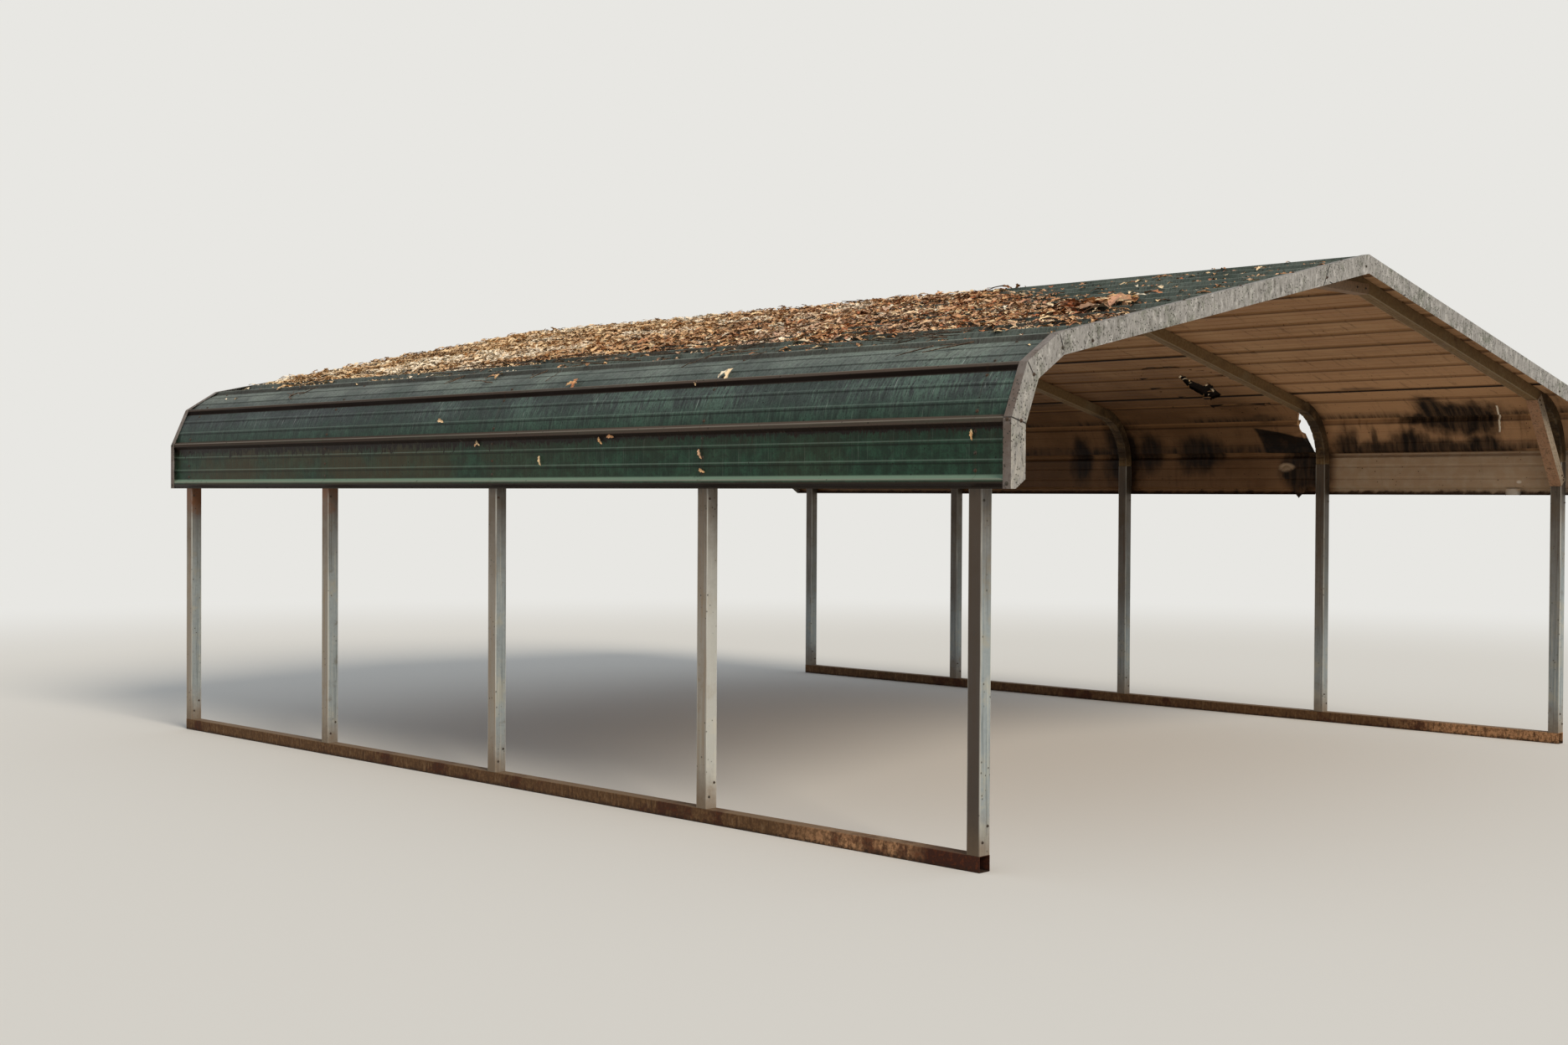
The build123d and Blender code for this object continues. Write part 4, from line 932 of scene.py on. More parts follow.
head = add(screw_tree, CONE, links={
    "Vertices": 6, "Radius Top": crown, "Radius Bottom": given["Head Radius"],
    "Depth": given["Head Height"]})
on_washer = add(screw_tree, COMBINE, 0.0, 0.0, given["Washer Height"])
raised = add(screw_tree, "GeometryNodeTransform", head.outputs["Mesh"], links={"Translation": on_washer})
screw = add(screw_tree, "GeometryNodeJoinGeometry", [washer.outputs["Mesh"], raised])
way = add(screw_tree, ATTRIBUTE, "facing", data_type="FLOAT_VECTOR")
stand = add(screw_tree, ALIGN, links={"Vector": way}, axis="Z")
twist = add(screw_tree, RANDOM, links={"Min": 0.0, "Max": 1.05, "Seed": given["Seed"]}, data_type="FLOAT")
twist = add(screw_tree, TO_ROTATION, add(screw_tree, COMBINE, 0.0, 0.0, twist))
stand = add(screw_tree, ROTATE, stand, twist, rotation_space="LOCAL")
placed = add(screw_tree, INSTANCE, given["Points"], links={"Instance": screw, "Rotation": stand})
plain = add(screw_tree, REALIZE, placed)
coloured = add(screw_tree, "GeometryNodeSetMaterial", plain, links={"Material": given["Finish"]})
add(screw_tree, "NodeGroupOutput", coloured)


def grow(tree, name, slot, carrier, **inputs):
    """Runs a tree on a carrier, keeps the result as a plain mesh on the carport and removes the carrier."""
    modifier = carrier.modifiers.new(name, "NODES")
    modifier.node_group = tree
    for item in tree.interface.items_tree:
        word = item.name.replace(" ", "_").lower()
        if item.in_out == "INPUT" and word in inputs:
            modifier[item.identifier] = inputs[word]
    bpy.context.view_layer.update()
    grown = carrier.evaluated_get(bpy.context.evaluated_depsgraph_get())
    mesh = bpy.data.meshes.new_from_object(grown)
    carrier.modifiers.remove(modifier)
    bpy.data.objects.remove(carrier)
    piece = bpy.data.objects.new(name, mesh)
    bpy.context.collection.objects.link(piece)
    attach(piece, "root")
    mesh.calc_loop_triangles()
    print(name, "triangles:", len(mesh.loop_triangles))
    return piece


def screw_carrier(places):
    """A mesh of single vertices, with the way each screw faces as an attribute."""
    mesh = bpy.data.meshes.new("screw places")
    mesh.from_pydata([tuple(place) for place, facing in places], [], [])
    facings = mesh.attributes.new("facing", "FLOAT_VECTOR", "POINT")
    for number, (place, facing) in enumerate(places):
        facings.data[number].vector = facing
    carrier = bpy.data.objects.new("screw places", mesh)
    bpy.context.collection.objects.link(carrier)
    return carrier


print("screw tree nodes:", len(screw_tree.nodes))

# %% Rusty zinc of the screws
screw_zinc, tree = begin("zinc-plated screw, dark with rust")
spot = add(tree, "ShaderNodeTexCoord").outputs["Object"]
each = add(tree, NOISE, links={"Vector": spot, "Scale": per_mm(90), "Detail": 1.0})
fine = add(tree, NOISE, links={"Vector": spot, "Scale": per_mm(4), "Detail": 2.0})
colour = coats(
    tree, "#3b3229",
    (add(tree, MAP, each, 0.42, 0.60, 0.0, 0.8, **SOFT), "#46301f"),
    (add(tree, MAP, each, 0.50, 0.36, 0.0, 0.6, **SOFT), "#5d5a52"),
    (add(tree, MAP, fine, 0.5, 0.7, 0.0, 0.6, **SOFT), "#2b231c"),
)
gloss = add(tree, MAP, fine, 0.3, 0.7, 0.5, 0.8)
finish_surface(tree, colour, gloss, add(tree, MAP, each, 0.50, 0.36, 0.1, 0.7), fine)
print("screw finish nodes:", len(tree.nodes))

# %% Screws through the sheets into the bows
# On each bow two between every pair of ribs, a little out of line, and three down the wall strip
places = []
for side in (-1, 1):
    for y in BOW_PLACES:
        for gap in range(FULL_RIBS):
            for share in (1 / 6, 5 / 6):
                slip = 0.006 * noise.noise((y, gap + share, side * 7.3))
                places.append(roof_point(side, y + slip, (gap + share) * RIB_SPACING))
        for below_rib in (0.038, 0.121, 0.188):
            places.append(roof_point(side, y, last_rib + below_rib))
grow(screw_tree, "sheet_screws", "painted_sheet", screw_carrier(places),
     washer_radius=0.0080, washer_height=0.0014,
     head_radius=0.0050, head_height=0.0040, seed=3, finish=screw_zinc)

# %% Screws through the gable trim
# Flange screws stand on the crests of ribs, 19 mm in from the roof's end, and one at the lip of the eave
FLANGE_MIDDLE, TRIM_SHEET, LIP_SCREW_HEIGHT = 0.019, 0.0013, 1.4755
trim_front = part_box("trim_front_left")[0]
lip = SLOPE_LENGTH + BEND_LENGTH + (BEND_START - LIP_SCREW_HEIGHT)
places = []
for end in (-1, 1):
    for side in (-1, 1):
        for number in (1, 3, 5, 7, 9, 13, EAVE_RIB):
            down = number * RIB_SPACING if number < EAVE_RIB else lip
            y = end * (ROOF_HALF_LENGTH - FLANGE_MIDDLE)
            on_crest, facing = roof_point(side, y, down, SHEET_TOP + RIB_HEIGHT + TRIM_SHEET)
            if number >= FULL_RIBS:
                on_crest.x = side * abs(trim_front.x)
            places.append((on_crest, facing))
        # Face screws stand where a knee was snipped and lapped, and beside the lap at the ridge
        for width, height in ((2.706, 1.711), (2.629, 1.887), (2.448, 1.998), (2.252, 2.038)):
            places.append((Vector((side * width, end * abs(trim_front.y), height)), Vector((0, end, 0))))
    places.append((Vector((-0.030, end * abs(trim_front.y), 2.530)), Vector((0, end, 0))))
    places.append((Vector((-0.405, end * abs(trim_front.y), 2.445)), Vector((0, end, 0))))
grow(screw_tree, "trim_screws", "trim_steel", screw_carrier(places),
     washer_radius=0.0084, washer_height=0.0014,
     head_radius=0.0052, head_height=0.0040, seed=5, finish=screw_zinc)

# %% Screws that hold bows, posts and braces
# On each post two screws stand low and two high, on the face that looks along the carport
places = []
for side in (-1, 1):
    for y in BOW_PLACES:
        for share, height in ((0.27, 0.115), (0.75, 0.175), (0.22, 1.413), (0.60, 1.560)):
            across = side * (HALF_WIDTH - share * TUBE)
            places.append((Vector((across, y - TUBE / 2, height)), Vector((0, -1, 0))))
            places.append((Vector((across, y + TUBE / 2, height)), Vector((0, 1, 0))))
for end, name in ((-1, "front"), (1, "rear")):
    for side, word in ((-1, "left"), (1, "right")):
        low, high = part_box(f"knee_brace_{name}_{word}")
        face_y = low.y if end < 0 else high.y
        for share in (0.07, 0.12, 0.88, 0.93):
            x = low.x + (high.x - low.x) * (share if side < 0 else 1 - share)
            height = low.z + (high.z - low.z) * share
            places.append((Vector((x, face_y, height)), Vector((0, end, 0))))
for number in range(BOWS):
    low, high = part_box(f"peak_brace_{number + 1}")
    for face_y, end in ((low.y, -1), (high.y, 1)):
        for share in (0.06, 0.20, 0.80, 0.94):
            x = low.x + (high.x - low.x) * share
            places.append((Vector((x, face_y, (low.z + high.z) / 2)), Vector((0, end, 0))))
grow(screw_tree, "frame_screws", "brace_steel", screw_carrier(places),
     washer_radius=0.0062, washer_height=0.0012,
     head_radius=0.0044, head_height=0.0042, seed=8, finish=screw_zinc)

# %% [markdown]
# ## Torn and bent edges
# Something heavy has come down on the right-hand side. The solid has the hole and the fold; what is left is
# the thin stuff at the edges: the rim of the hole curls in, a tongue is punched out of the wall strip, a
# corner hangs below the eave, and the eave's lip is bent near the front post. Each is a strip of faces
# between rows of points on the unrolled sheet, with how far each point is bent inwards in millimetres.

# %% Flaps of torn sheet
# The dent in the solid: where it starts, is deepest and ends along the carport, and its share of the depth
# at distances down from the slope's end
DENT_START, DENT_DEEPEST, DENT_END = -1.4764, -1.3204, -1.0204
DENT_DEPTH = 0.045
DENT_STEPS = ((0.306, 0.0), (0.394, 1.0), (0.470, 0.8), (0.600, 0.45), (0.760, 0.35))


def dent_depth(y, down):
    """How far the sheet is pushed in beside the second bow, in metres."""
    across = (y - DENT_START) / (DENT_DEEPEST - DENT_START)
    if y >= DENT_DEEPEST:
        across = (DENT_END - y) / (DENT_END - DENT_DEEPEST)
    share = 0.0
    for (start, low), (end, high) in zip(DENT_STEPS, DENT_STEPS[1:]):
        if start <= down - SLOPE_LENGTH <= end:
            share = low + (high - low) * (down - SLOPE_LENGTH - start) / (end - start)
    return DENT_DEPTH * max(0.0, min(1.0, across)) * share


def arc_row(first, last, down, bulge, inward, count=9):
    """A row of points along the roof that rises to its middle, uphill by bulge and inwards by inward."""
    row = []
    for step in range(count):
        share = step / (count - 1)
        rise = sin(pi * share)
        row.append((first + (last - first) * share, down - bulge * rise, inward * rise))
    return row


# The hole's far rim, from the top down
RIM = [
    (-1.453, 2.558), (-1.423, 2.622), (-1.393, 2.685), (-1.370, 2.742), (-1.363, 2.790),
    (-1.378, 2.822), (-1.402, 2.875), (-1.429, 2.932), (-1.455, 2.992),
]
# Rim, tongue, hanging corner, bent lip, and the flap at the slit. A point is y, distance down, and bend
FLAPS = [
    [[(y, down, 0.0) for y, down in RIM],
     [(y + 0.002, down, 4.0) for y, down in RIM],
     [(y + 0.007, down + 0.002, 8.0 + 3.0 * sin(40 * down)) for y, down in RIM]],
    [arc_row(-1.197, -1.294, 3.075, 0.038, 0.0),
     arc_row(-1.197, -1.294, 3.076, 0.020, 15.0),
     arc_row(-1.197, -1.294, 3.078, 0.0, 26.0)],
    [[(-1.288, 3.170, 1.0), (-1.336, 3.170, 1.0), (-1.386, 3.170, 1.0)],
     [(-1.297, 3.205, 3.0), (-1.336, 3.214, 7.0), (-1.377, 3.205, 2.0)],
     [(-1.318, 3.232, 5.0), (-1.335, 3.240, 12.0), (-1.352, 3.232, 4.0)],
     [(-1.333, 3.247, 8.0), (-1.336, 3.252, 11.0), (-1.339, 3.247, 8.0)]],
    [arc_row(-2.690, -2.782, 3.190, 0.0, 2.0),
     arc_row(-2.690, -2.782, 3.212, 0.0, 13.0),
     arc_row(-2.690, -2.782, 3.230, 0.006, 20.0)],
    [[(-0.905, 2.300, 0.0), (-0.935, 2.296, 0.0), (-0.960, 2.290, 0.0)],
     [(-0.912, 2.345, 16.0), (-0.930, 2.350, 22.0), (-0.946, 2.338, 14.0)],
     [(-0.906, 2.380, 34.0), (-0.912, 2.384, 38.0), (-0.918, 2.378, 33.0)]],
]
corners, faces = [], []
for rows in FLAPS:
    wide = len(rows[0])
    for row in rows:
        for y, down, inward in row:
            lift = -dent_depth(y, down) - 0.0002 - inward / 1000
            corners.append(tuple(roof_point(1, y, down, lift)[0]))
    start = len(corners) - wide * len(rows)
    for row in range(len(rows) - 1):
        for step in range(wide - 1):
            first = start + row * wide + step
            faces.append((first, first + 1, first + wide + 1, first + wide))
mesh = bpy.data.meshes.new("torn_sheet_edges")
mesh.from_pydata(corners, [], faces)
mesh.materials.append(sheet_paint)
flaps = bpy.data.objects.new("torn_sheet_edges", mesh)
bpy.context.collection.objects.link(flaps)
wall = flaps.modifiers.new("sheet thickness", "SOLIDIFY")
wall.thickness = 0.0006
wall.offset = 0.0
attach(flaps, "root")
print("torn flaps:", len(FLAPS), "faces:", len(faces))

# %% [markdown]
# ## Fallen leaves
# The left slope is under a crust of dry oak leaves, crumbs of old ones and twigs. It is the dirt that makes
# this roof look as old as it is. They are scattered over a bed that follows the roof line: the bed says how
# thick the cover is at each place, and one tree scatters, tilts, sizes and tints leaves, crumbs and twigs
# alike. A leaf has two dozen triangles, as thousands of them are needed.

# %% Geometry Nodes: litter scattered on a bed
litter_tree = new_group("litter on a roof", "GeometryNodeTree", {
    "Bed": "Geometry", "Shape": "Object", "Half Length": "Float", "Count Per Square Metre": "Float",
    "Smallest": "Float", "Largest": "Float", "Tilt": "Float", "Pile Height": "Float", "Seed": "Int",
    "Finish": "Material"}, {"Litter": "Geometry"})
given = add(litter_tree, "NodeGroupInput").outputs
# Where things lie, how high, how large and in which tone are drawn with a seed for each
lie_seed = given["Seed"]
high_seed, large_seed, tone_seed = [
    add(litter_tree, MATH, lie_seed, step, **PLUS) for step in (1.0, 2.0, 3.0)]
cover = add(litter_tree, ATTRIBUTE, "cover", data_type="FLOAT")
density = add(litter_tree, MATH, cover, given["Count Per Square Metre"], **MUL)
spread = add(litter_tree, "GeometryNodeDistributePointsOnFaces", given["Bed"], distribute_method="RANDOM",
             links={"Density": density, "Seed": lie_seed})
# A leaf alone lies flat, and in a heap they lean; each stands clear of the bed by as much as it leans
leaning = add(litter_tree, MATH, add(litter_tree, MAP, cover, 0.1, 0.8, 0.25, 1.0), given["Tilt"], **MUL)
back = add(litter_tree, MATH, leaning, -1.0, **MUL)
up = add(litter_tree, ATTRIBUTE, "facing", data_type="FLOAT_VECTOR")
flat = add(litter_tree, ALIGN, links={"Vector": up}, axis="Z")
least = add(litter_tree, COMBINE, back, back, 0.0)
most = add(litter_tree, COMBINE, leaning, leaning, 2 * pi)
lean = add(litter_tree, RANDOM, data_type="FLOAT_VECTOR", links={
    "Min": least, "Max": most, "Seed": lie_seed})
spin = add(litter_tree, TO_ROTATION, add(litter_tree, VECTOR, lean, (0.0, 0.0, 1.0), **MUL))
tilt = add(litter_tree, TO_ROTATION, add(litter_tree, VECTOR, lean, (1.0, 1.0, 0.0), **MUL))
pose = add(litter_tree, ROTATE, flat, tilt, rotation_space="LOCAL")
pose = add(litter_tree, ROTATE, pose, spin, rotation_space="LOCAL")
stack = add(litter_tree, RANDOM, data_type="FLOAT", links={
    "Min": 0.0, "Max": given["Pile Height"], "Seed": high_seed})
clear = add(litter_tree, MATH, leaning, given["Half Length"], **MUL)
rise = add(litter_tree, MATH, stack, cover, clear, **MULADD)
lift = add(litter_tree, VECTOR, up, links={"Scale": rise}, operation="SCALE")
heaped = add(litter_tree, "GeometryNodeSetPosition", spread.outputs["Points"], links={"Offset": lift})
grown = add(litter_tree, RANDOM, data_type="FLOAT", links={
    "Min": given["Smallest"], "Max": given["Largest"], "Seed": large_seed})
one_shape = add(litter_tree, "GeometryNodeObjectInfo", given["Shape"])
laid = add(litter_tree, INSTANCE, heaped, links={
    "Instance": one_shape.outputs["Geometry"], "Rotation": pose, "Scale": grown})
tint = add(litter_tree, RANDOM, links={"Min": 0.0, "Max": 1.0, "Seed": tone_seed}, data_type="FLOAT")
toned = add(litter_tree, "GeometryNodeStoreNamedAttribute", laid, data_type="FLOAT", domain="INSTANCE",
            links={"Name": "tone", "Value": tint})
plain = add(litter_tree, REALIZE, toned)
coloured = add(litter_tree, "GeometryNodeSetMaterial", plain, links={"Material": given["Finish"]})
add(litter_tree, "NodeGroupOutput", coloured)
print("litter tree nodes:", len(litter_tree.nodes))

# %% Dry leaf and twig
# Bleached tan leaves, pinkish and red-brown ones, and dark wet ones between them; behind, where more sun
# falls, they are painted lighter, with pools of painted sunlight and painted shade over them
dry_leaf, tree = begin("dry oak leaf, tan to red brown")
tone = add(tree, "ShaderNodeAttribute", attribute_name="tone").outputs["Fac"]
spot = add(tree, "ShaderNodeTexCoord").outputs["Object"]
leaf_y = add(tree, SEPARATE, spot).outputs[1]
blotch = add(tree, NOISE, links={"Vector": spot, "Scale": per_mm(22), "Detail": 3.0})
painted_sun_pools = add(tree, NOISE, links={"Vector": spot, "Scale": per_mm(420), "Detail": 3.0})
painted_shade_pools = add(tree, MAP, painted_sun_pools, 0.46, 0.34, 0.0, 1.0, **SOFT)
painted_sun_pools = add(tree, MAP, painted_sun_pools, 0.50, 0.62, 0.0, 1.0, **SOFT)
colour = coats(
    tree, "#b07f55",
    (add(tree, MAP, tone, 0.12, 0.30, 0.0, 1.0), "#e0b27f"),
    (add(tree, MAP, tone, 0.34, 0.42, 0.0, 1.0), "#744c33"),
    (add(tree, MAP, tone, 0.44, 0.56, 0.0, 1.0), "#d59f72"),
    (add(tree, MAP, tone, 0.64, 0.72, 0.0, 1.0), "#b26a42"),
    (add(tree, MAP, tone, 0.76, 0.84, 0.0, 1.0), "#f0d2a4"),
    (add(tree, MAP, tone, 0.94, 0.97, 0.0, 1.0), "#f2e6cd"),
    # Towards the rear the leaves are painted lighter, as painted sunlight
    (add(tree, MAP, leaf_y, -1.2, 2.4, 0.0, 0.60, **SOFT), "#f6d8a8"),
    (add(tree, MATH, painted_sun_pools, add(tree, MAP, leaf_y, -1.5, 0.5, 0.2, 0.8), **MUL), "#fff3dc"),
    (add(tree, MAP, blotch, 0.50, 0.36, 0.0, 0.6, **SOFT), "#4a3020"),
    (add(tree, MAP, painted_shade_pools, 0.0, 1.0, 0.0, 0.45), "#6a4630"),
)
finish_surface(tree, colour, 0.8, 0.0, blotch, specular=0.3)

bark, tree = begin("dead twig bark, grey brown")
spot = add(tree, "ShaderNodeTexCoord").outputs["Object"]
rough = add(tree, NOISE, links={"Vector": spot, "Scale": per_mm(12), "Detail": 3.0})
colour = coats(tree, "#4b3a2e", (add(tree, MAP, rough, 0.45, 0.65, 0.0, 0.8, **SOFT), "#85725f"))
finish_surface(tree, colour, 0.85, 0.0, rough, specular=0.3)


def shape_object(name, corners, faces):
    """An object for a tree to copy."""
    mesh = bpy.data.meshes.new(name)
    mesh.from_pydata(corners, [], faces)
    shape = bpy.data.objects.new(name, mesh)
    bpy.context.collection.objects.link(shape)
    return shape


def leaf_shape(name, halves, length, curl, bend):
    """A leaf as a strip of two rows of faces. Halves are the half widths of its lobes, from stalk to tip."""
    corners, faces = [], []
    steps = len(halves) - 1
    for step, half in enumerate(halves):
        share = step / steps - 0.5
        x = share * length
        rise = bend * (1 - 4 * share * share) * length
        for edge in (-1, 0, 1):
            corners.append((x + 0.10 * abs(edge) * half, edge * half, rise + curl * abs(edge) * half))
    for step in range(steps):
        for edge in (0, 1):
            first = 3 * step + edge
            faces.append((first, first + 3, first + 4, first + 1))
    return shape_object(name, corners, faces)


def twig_shape(name, *branches):
    """A twig of three-sided branches. Each branch is a list of points with a radius."""
    corners, faces = [], []
    for branch in branches:
        start = len(corners)
        for x, y, z, radius in branch:
            for turn in (0.5, 0.5 + 2 * pi / 3, 0.5 + 4 * pi / 3):
                corners.append((x, y + radius * cos(turn), z + radius * sin(turn)))
        for step in range(len(branch) - 1):
            for edge in range(3):
                first, after = start + 3 * step + edge, start + 3 * step + (edge + 1) % 3
                faces.append((first, after, after + 3, first + 3))
        end = len(corners) - 3
        faces += [(start + 2, start + 1, start), (end, end + 1, end + 2)]
    return shape_object(name, corners, faces)


print("finishes: dry leaf and bark")

# %% Beds that say how thick the litter lies
# Things catch on the upper side of a rib: this far above its middle
CAUGHT_FROM, CAUGHT_TO = -0.045, -0.020
# The mat over the slit: its middle and its half size, along the carport and down the slope
MAT_MIDDLE, MAT_HALF = (-1.03, 2.11), (0.36, 0.52)


def cover_left(y, down):
    """Cover of the left slope: thick behind, clear at the upper front, thin past the tenth rib."""
    ragged = 0.22 * noise.noise((y * 1.3, down * 2.0, 0.7)) + 0.10 * noise.noise((y * 5, down * 6, 3.1))
    lower_edge = 2.14 + 0.08 * sin(y * 1.1) + 0.20 * min(1.0, max(0.0, y - 1.6))
    lower_edge += ragged * (0.5 if y > 1.5 else 1.0)
    upper_edge = max(0.0, 0.80 * (-y - 1.05)) + 0.8 * ragged if y < -1.05 else -0.4
    cover = min(1.0, max(0.0, (lower_edge - down) / 0.14)) * min(1.0, max(0.0, (down - upper_edge) / 0.30))
    below = down - RIB_SPACING * round(down / RIB_SPACING)
    thin = 0.04 + (0.26 if CAUGHT_FROM < below < CAUGHT_TO else 0.0)
    if down > 2.20:
        thin *= 0.7 if down < 2.52 else 0.07
    gust = min(1.0, 0.72 + 0.14 * y) + 0.75 * noise.noise((y * 1.6, down * 7.0, 9.0))
    gust += 0.45 * noise.noise((y * 5.0, down * 11.0, 2.0))
    scatter = thin * max(0.0, 0.55 + noise.noise((y * 3.5, down * 4.5, 5.0)))
    return max(cover * min(1.0, max(0.10, gust)), scatter)


def cover_drift(y, down):
    """Large leaves have drifted together behind the front trim, and a few lie about on the rest."""
    drift = 1.0 - ((y + 2.69) / 0.20) ** 2 - ((down - 1.56) / 0.24) ** 2
    return max(min(1.0, 2.0 * drift), 0.10 * cover_left(y, down))


def cover_right(y, down):
    """Cover of the right slope: what has blown over the ridge, a thin scatter, and a heap over the slit."""
    heap = 1.0 - (((y + 1.02) / 0.44) ** 2 + ((down - 2.10) / 0.56) ** 2)
    heap += 0.55 * noise.noise((y * 5, down * 5, 13.0))
    over_ridge = 0.9 * max(0.0, 1.0 - down / 0.22) if y > -1.2 else 0.0
    below = down - RIB_SPACING * round(down / RIB_SPACING)
    caught = 0.16 if CAUGHT_FROM < below < CAUGHT_TO else 0.03
    thin = caught * max(0.0, 0.5 + noise.noise((y * 3.0, down * 3.6, 21.0))) if down < 2.5 else 0.0
    return max(1.2 * heap, over_ridge, thin)


def cover_twigs(y, down):
    """Twigs lie where the leaves do, and hang on the ribs below them, most of all at the front."""
    caught = 0.8 if 2.0 < down < 2.62 else 0.0
    return max(cover_left(y, down), caught * (2.2 if -2.6 < y < -1.2 and down > 2.2 else 1.0))


def mat_lift(y, down):
    """The height of the mat of rotted leaves over the slit: none at its ragged edge, 25 mm in the middle."""
    out = ((y - MAT_MIDDLE[0]) / MAT_HALF[0]) ** 2 + ((down - MAT_MIDDLE[1]) / MAT_HALF[1]) ** 2
    out += 0.25 * noise.noise((y * 9, down * 9, 2.0))
    if out > 1.0:
        return None
    swell = 0.8 + 0.35 * noise.noise((y * 14, down * 14, 7.0))
    return 0.0015 + 0.026 * min(1.0, 2.2 * (1.0 - out)) * swell


def steps(first, last, count):
    """Evenly spaced numbers from first to last."""
    return [first + (last - first) * step / count for step in range(count + 1)]


def roof_patch(side, across, downs, lift_at):
    """Faces over part of a slope, each corner lifted as lift_at says; where that is None, none is made."""
    spots = [(y, down) for down in downs for y in across]
    lifts = [lift_at(*spot) for spot in spots]
    corners = [tuple(roof_point(side, *spot, lift or 0.0)[0]) for spot, lift in zip(spots, lifts)]
    faces = []
    for row in range(len(downs) - 1):
        for column in range(len(across) - 1):
            first = row * len(across) + column
            ring = (first, first + 1, first + len(across) + 1, first + len(across))
            if all(lifts[corner] is not None for corner in ring):
                faces.append(ring if side < 0 else ring[::-1])
    return corners, faces, spots


# A bed goes over every rib: its rows lie at the feet and the crest of each, and between them
ROW_PLACES = (-0.024, -0.009, 0.009, 0.024, 0.080, 0.140)
RIB_ROWS = [number * RIB_SPACING + off for number in range(12) for off in ROW_PLACES]
DOWNS = [0.01, 0.024, 0.12] + [down for down in RIB_ROWS if down > 0.15]


def litter_bed(side, y_span, cover_at, clearance):
    """Faces over the ribs of one slope and over the mat. Their corners carry the cover and the facing."""
    def lift_at(y, down):
        below = abs(down - RIB_SPACING * round(down / RIB_SPACING))
        on_rib = RIB_HEIGHT * min(1.0, max(0.0, (0.024 - below) / 0.015))
        return max(on_rib, (mat_lift(y, down) or 0.0) if side > 0 else 0.0) + clearance

    across = steps(*y_span, round(25 * (y_span[1] - y_span[0])))
    corners, faces, spots = roof_patch(side, across, DOWNS, lift_at)
    bed = shape_object("litter bed", corners, faces)
    stored = bed.data.attributes.new("cover", "FLOAT", "POINT")
    stored.data.foreach_set("value", [cover_at(*spot) for spot in spots])
    facing = bed.data.attributes.new("facing", "FLOAT_VECTOR", "POINT")
    facing.data.foreach_set("vector", [number for spot in spots for number in roof_point(side, *spot)[1]])
    return bed


oak = leaf_shape("oak leaf", [0.002, 0.010, 0.007, 0.017, 0.010, 0.015, 0.003], 0.078, 0.35, 0.10)
crumb = leaf_shape("crumb", [0.004, 0.007, 0.003], 0.020, 0.5, 0.15)
twig = twig_shape(
    "twig",
    [(-0.12, 0.0, 0.002, 0.0052), (-0.05, 0.016, 0.006, 0.0046),
     (0.02, 0.002, 0.003, 0.0040), (0.13, 0.030, 0.008, 0.0022)],
    [(-0.05, 0.016, 0.006, 0.0036), (-0.01, -0.018, 0.008, 0.0030), (0.05, -0.030, 0.012, 0.0018)],
)
leaves = {"shape": oak, "half_length": 0.022, "count_per_square_metre": 1150.0, "smallest": 0.36,
          "largest": 1.0, "tilt": 0.34, "pile_height": 0.009, "seed": 11, "finish": dry_leaf}
crumbs = {"shape": crumb, "half_length": 0.008, "count_per_square_metre": 3600.0, "smallest": 0.4,
          "largest": 1.5, "tilt": 0.5, "pile_height": 0.006, "seed": 23, "finish": dry_leaf}
drifted = {"shape": oak, "half_length": 0.034, "count_per_square_metre": 520.0, "smallest": 1.0,
           "largest": 1.55, "tilt": 0.40, "pile_height": 0.012, "seed": 47, "finish": dry_leaf}
twigs = {"shape": twig, "half_length": 0.040, "count_per_square_metre": 26.0, "smallest": 0.30,
         "largest": 0.95, "tilt": 0.16, "pile_height": 0.012, "seed": 31, "finish": bark}
for side, y_span, cover_at, word in (
        (-1, (-3.13, 0.0), cover_left, "left_front"), (-1, (0.0, 3.18), cover_left, "left_rear"),
        (1, (-3.13, 3.18), cover_right, "right")):
    bed = litter_bed(side, y_span, cover_at, 0.003)
    grow(litter_tree, f"leaves_{word}", "painted_sheet", bed, **leaves)
    bed = litter_bed(side, y_span, cover_at, 0.002)
    grow(litter_tree, f"leaf_crumbs_{word}", "painted_sheet", bed, **crumbs)
bed = litter_bed(-1, (-3.13, 3.0), cover_drift, 0.006)
grow(litter_tree, "leaves_drift", "painted_sheet", bed, **drifted)
bed = litter_bed(-1, (-3.0, 3.0), cover_twigs, 0.004)
grow(litter_tree, "twigs_left", "painted_sheet", bed, **twigs)

# %% [markdown]
# ## The mat over the slit
# Higher up in the same bay the sheet is slit open, yet no sky shows: rotting leaves lie over it, black from
# below as painted shade, with a few dry ones caught in the opening. A thin mat of leaf mould closes it; its
# near black is leaf mould and painted shade. It is a patch of the roof that swells towards its middle, and
# some leaves are laid one by one.

# %% Mat of rotted leaves, and leaves laid one by one
# The mat is leaf mould, painted near black as the shade under the heap
leaf_mould_and_shade, tree = begin("rotted leaf mould, nearly black")
spot = add(tree, "ShaderNodeTexCoord").outputs["Object"]
lumps = add(tree, NOISE, links={"Vector": spot, "Scale": per_mm(24), "Detail": 4.0, "Roughness": 0.7})
colour = coats(tree, "#120b07", (add(tree, MAP, lumps, 0.50, 0.68, 0.0, 0.8, **SOFT), "#2a1a10"))
finish_surface(tree, colour, 0.9, 0.0, lumps, specular=0.1)
corners, faces, _ = roof_patch(1, steps(-1.42, -0.64, 32), steps(1.56, 2.66, 40), mat_lift)
mat = shape_object("leaf_mat_right", corners, faces)
mat.data.materials.append(leaf_mould_and_shade)
body = mat.modifiers.new("mat thickness", "SOLIDIFY")
body.thickness = 0.003
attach(mat, "root")


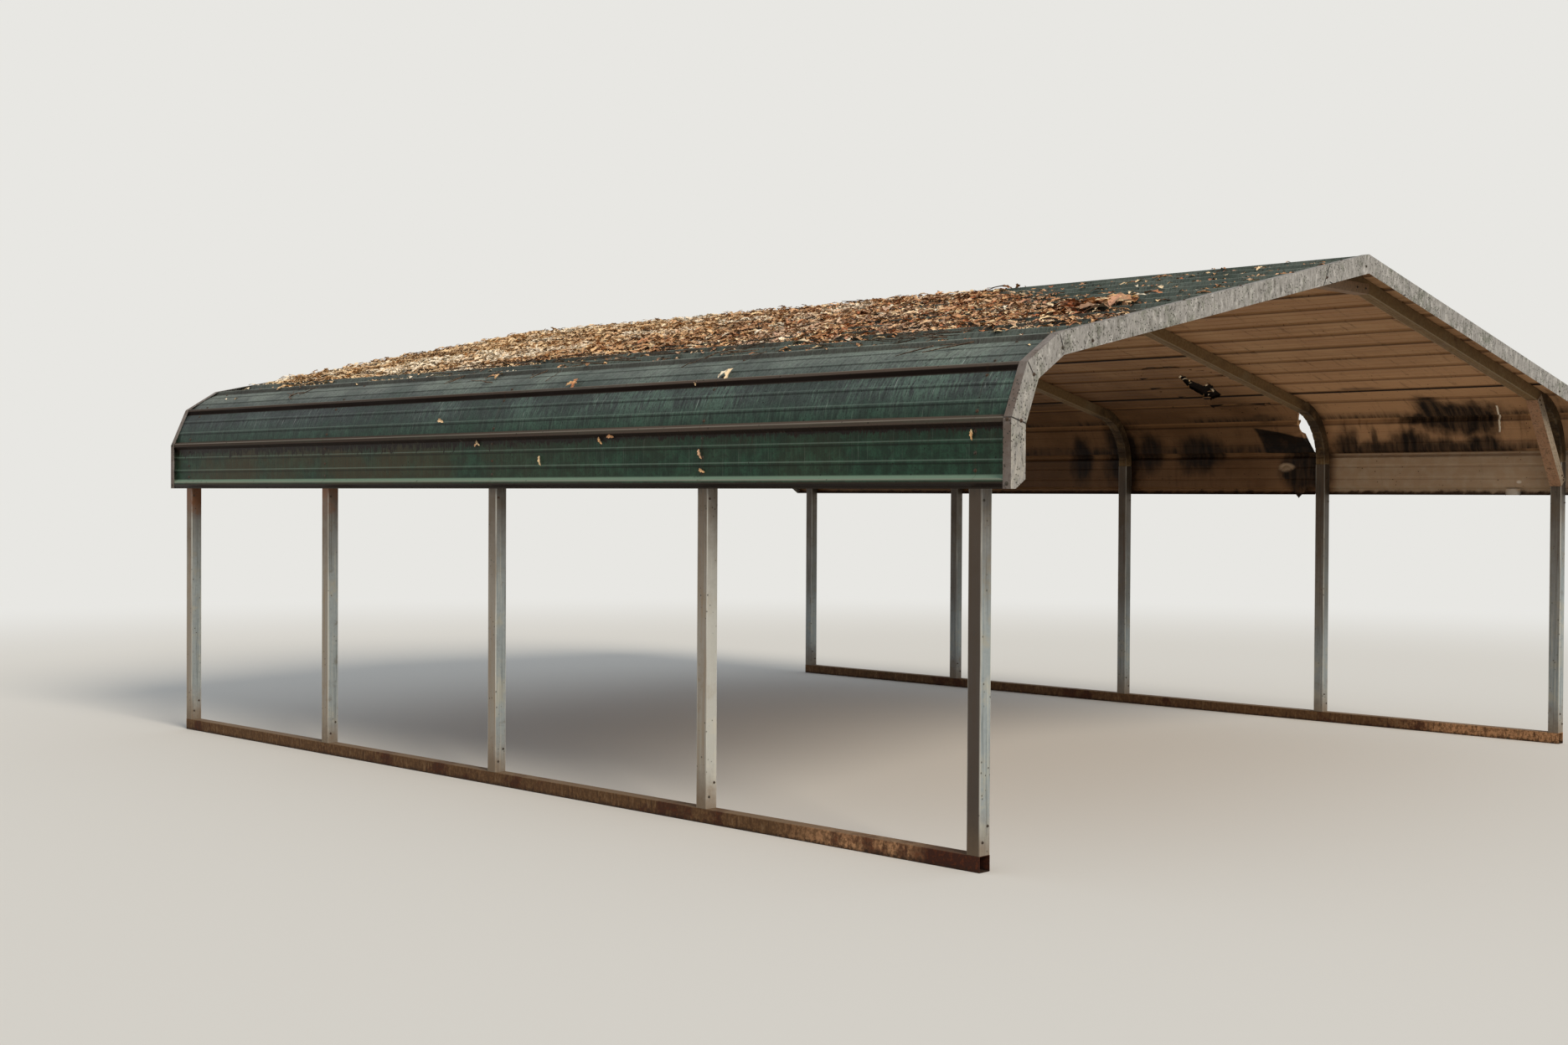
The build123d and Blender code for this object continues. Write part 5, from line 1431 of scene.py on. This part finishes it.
def laid_by_hand(name, shape, places):
    """Copies of one shape at places given one by one: side, y, distance down, lift, turn, size and tone."""
    corners, faces, tones = [], [], []
    for side, y, down, lift, turn, size, tone in places:
        point, facing = roof_point(side, y, down, lift)
        stand = facing.to_track_quat("Z", "X").to_matrix().to_4x4()
        move = Matrix.Translation(point) @ stand @ Matrix.Rotation(turn, 4, "Z") @ Matrix.Scale(size, 4)
        start = len(corners)
        corners += [tuple(move @ corner.co) for corner in shape.data.vertices]
        faces += [tuple(start + corner for corner in face.vertices) for face in shape.data.polygons]
        tones += [tone] * len(shape.data.vertices)
    piece = shape_object(name, corners, faces)
    stored = piece.data.attributes.new("tone", "FLOAT", "POINT")
    stored.data.foreach_set("value", tones)
    piece.data.materials.append(dry_leaf)
    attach(piece, "root")
    print(name, "leaves:", len(places))


# Tones: 0.3 light tan, 0.6 tan, 0.7 and 0.82 red brown, 0.9 pale, 0.99 bleached
laid_by_hand("leaves_stuck", oak, [
    (-1, -3.002, 3.026, 0.004, 0.05, 0.50, 0.30), (-1, -3.004, 3.012, 0.006, 0.5, 0.26, 0.90),
    (-1, 0.455, 2.885, 0.006, 1.3, 0.70, 0.30), (-1, -0.502, 2.706, 0.012, 0.3, 1.10, 0.70),
    (-1, -0.480, 2.712, 0.016, 1.9, 0.90, 0.30), (-1, -1.558, 2.706, 0.012, 0.2, 1.15, 0.90),
    (-1, -1.520, 2.700, 0.014, 2.6, 0.80, 0.99), (-1, -1.378, 2.748, 0.014, 0.5, 0.50, 0.90),
    (-1, -0.898, 2.990, 0.008, 1.4, 0.65, 0.60), (-1, -0.826, 3.008, 0.006, 0.7, 0.55, 0.30),
    (-1, -1.498, 3.078, 0.005, 0.4, 0.60, 0.60), (-1, -1.510, 3.150, 0.006, 1.2, 0.50, 0.30),
    (-1, -0.382, 3.096, 0.005, 0.2, 0.62, 0.90), (-1, 0.110, 3.004, 0.006, 0.9, 0.50, 0.90),
    (-1, 0.125, 3.012, 0.006, 2.2, 0.40, 0.60), (-1, 0.263, 2.565, 0.008, 0.4, 1.00, 0.30),
    (-1, 0.300, 2.575, 0.010, 2.0, 0.90, 0.55), (-1, 1.62, 2.52, 0.008, 0.8, 0.7, 0.90),
    # The palest leaves in the slit stand in for glints of sunlight: painted highlights
    (1, -1.052, 1.800, -0.006, 0.9, 0.70, 0.99), (1, -1.046, 1.860, -0.005, 1.5, 0.55, 0.99),
    (1, -1.040, 1.915, 0.002, 0.4, 0.55, 0.90), (1, -1.008, 1.985, 0.006, 1.2, 0.34, 0.99),
    (1, -1.118, 2.003, -0.006, 0.8, 0.80, 0.99), (1, -1.075, 2.130, -0.006, 0.2, 0.85, 0.99),
    (1, -1.020, 2.200, 0.006, 1.7, 0.44, 0.82), (1, -0.970, 2.270, 0.006, 0.9, 0.40, 0.99),
    (1, -0.935, 2.340, 0.006, 0.4, 0.36, 0.60),
])
for shape in (oak, crumb, twig):
    bpy.data.objects.remove(shape)
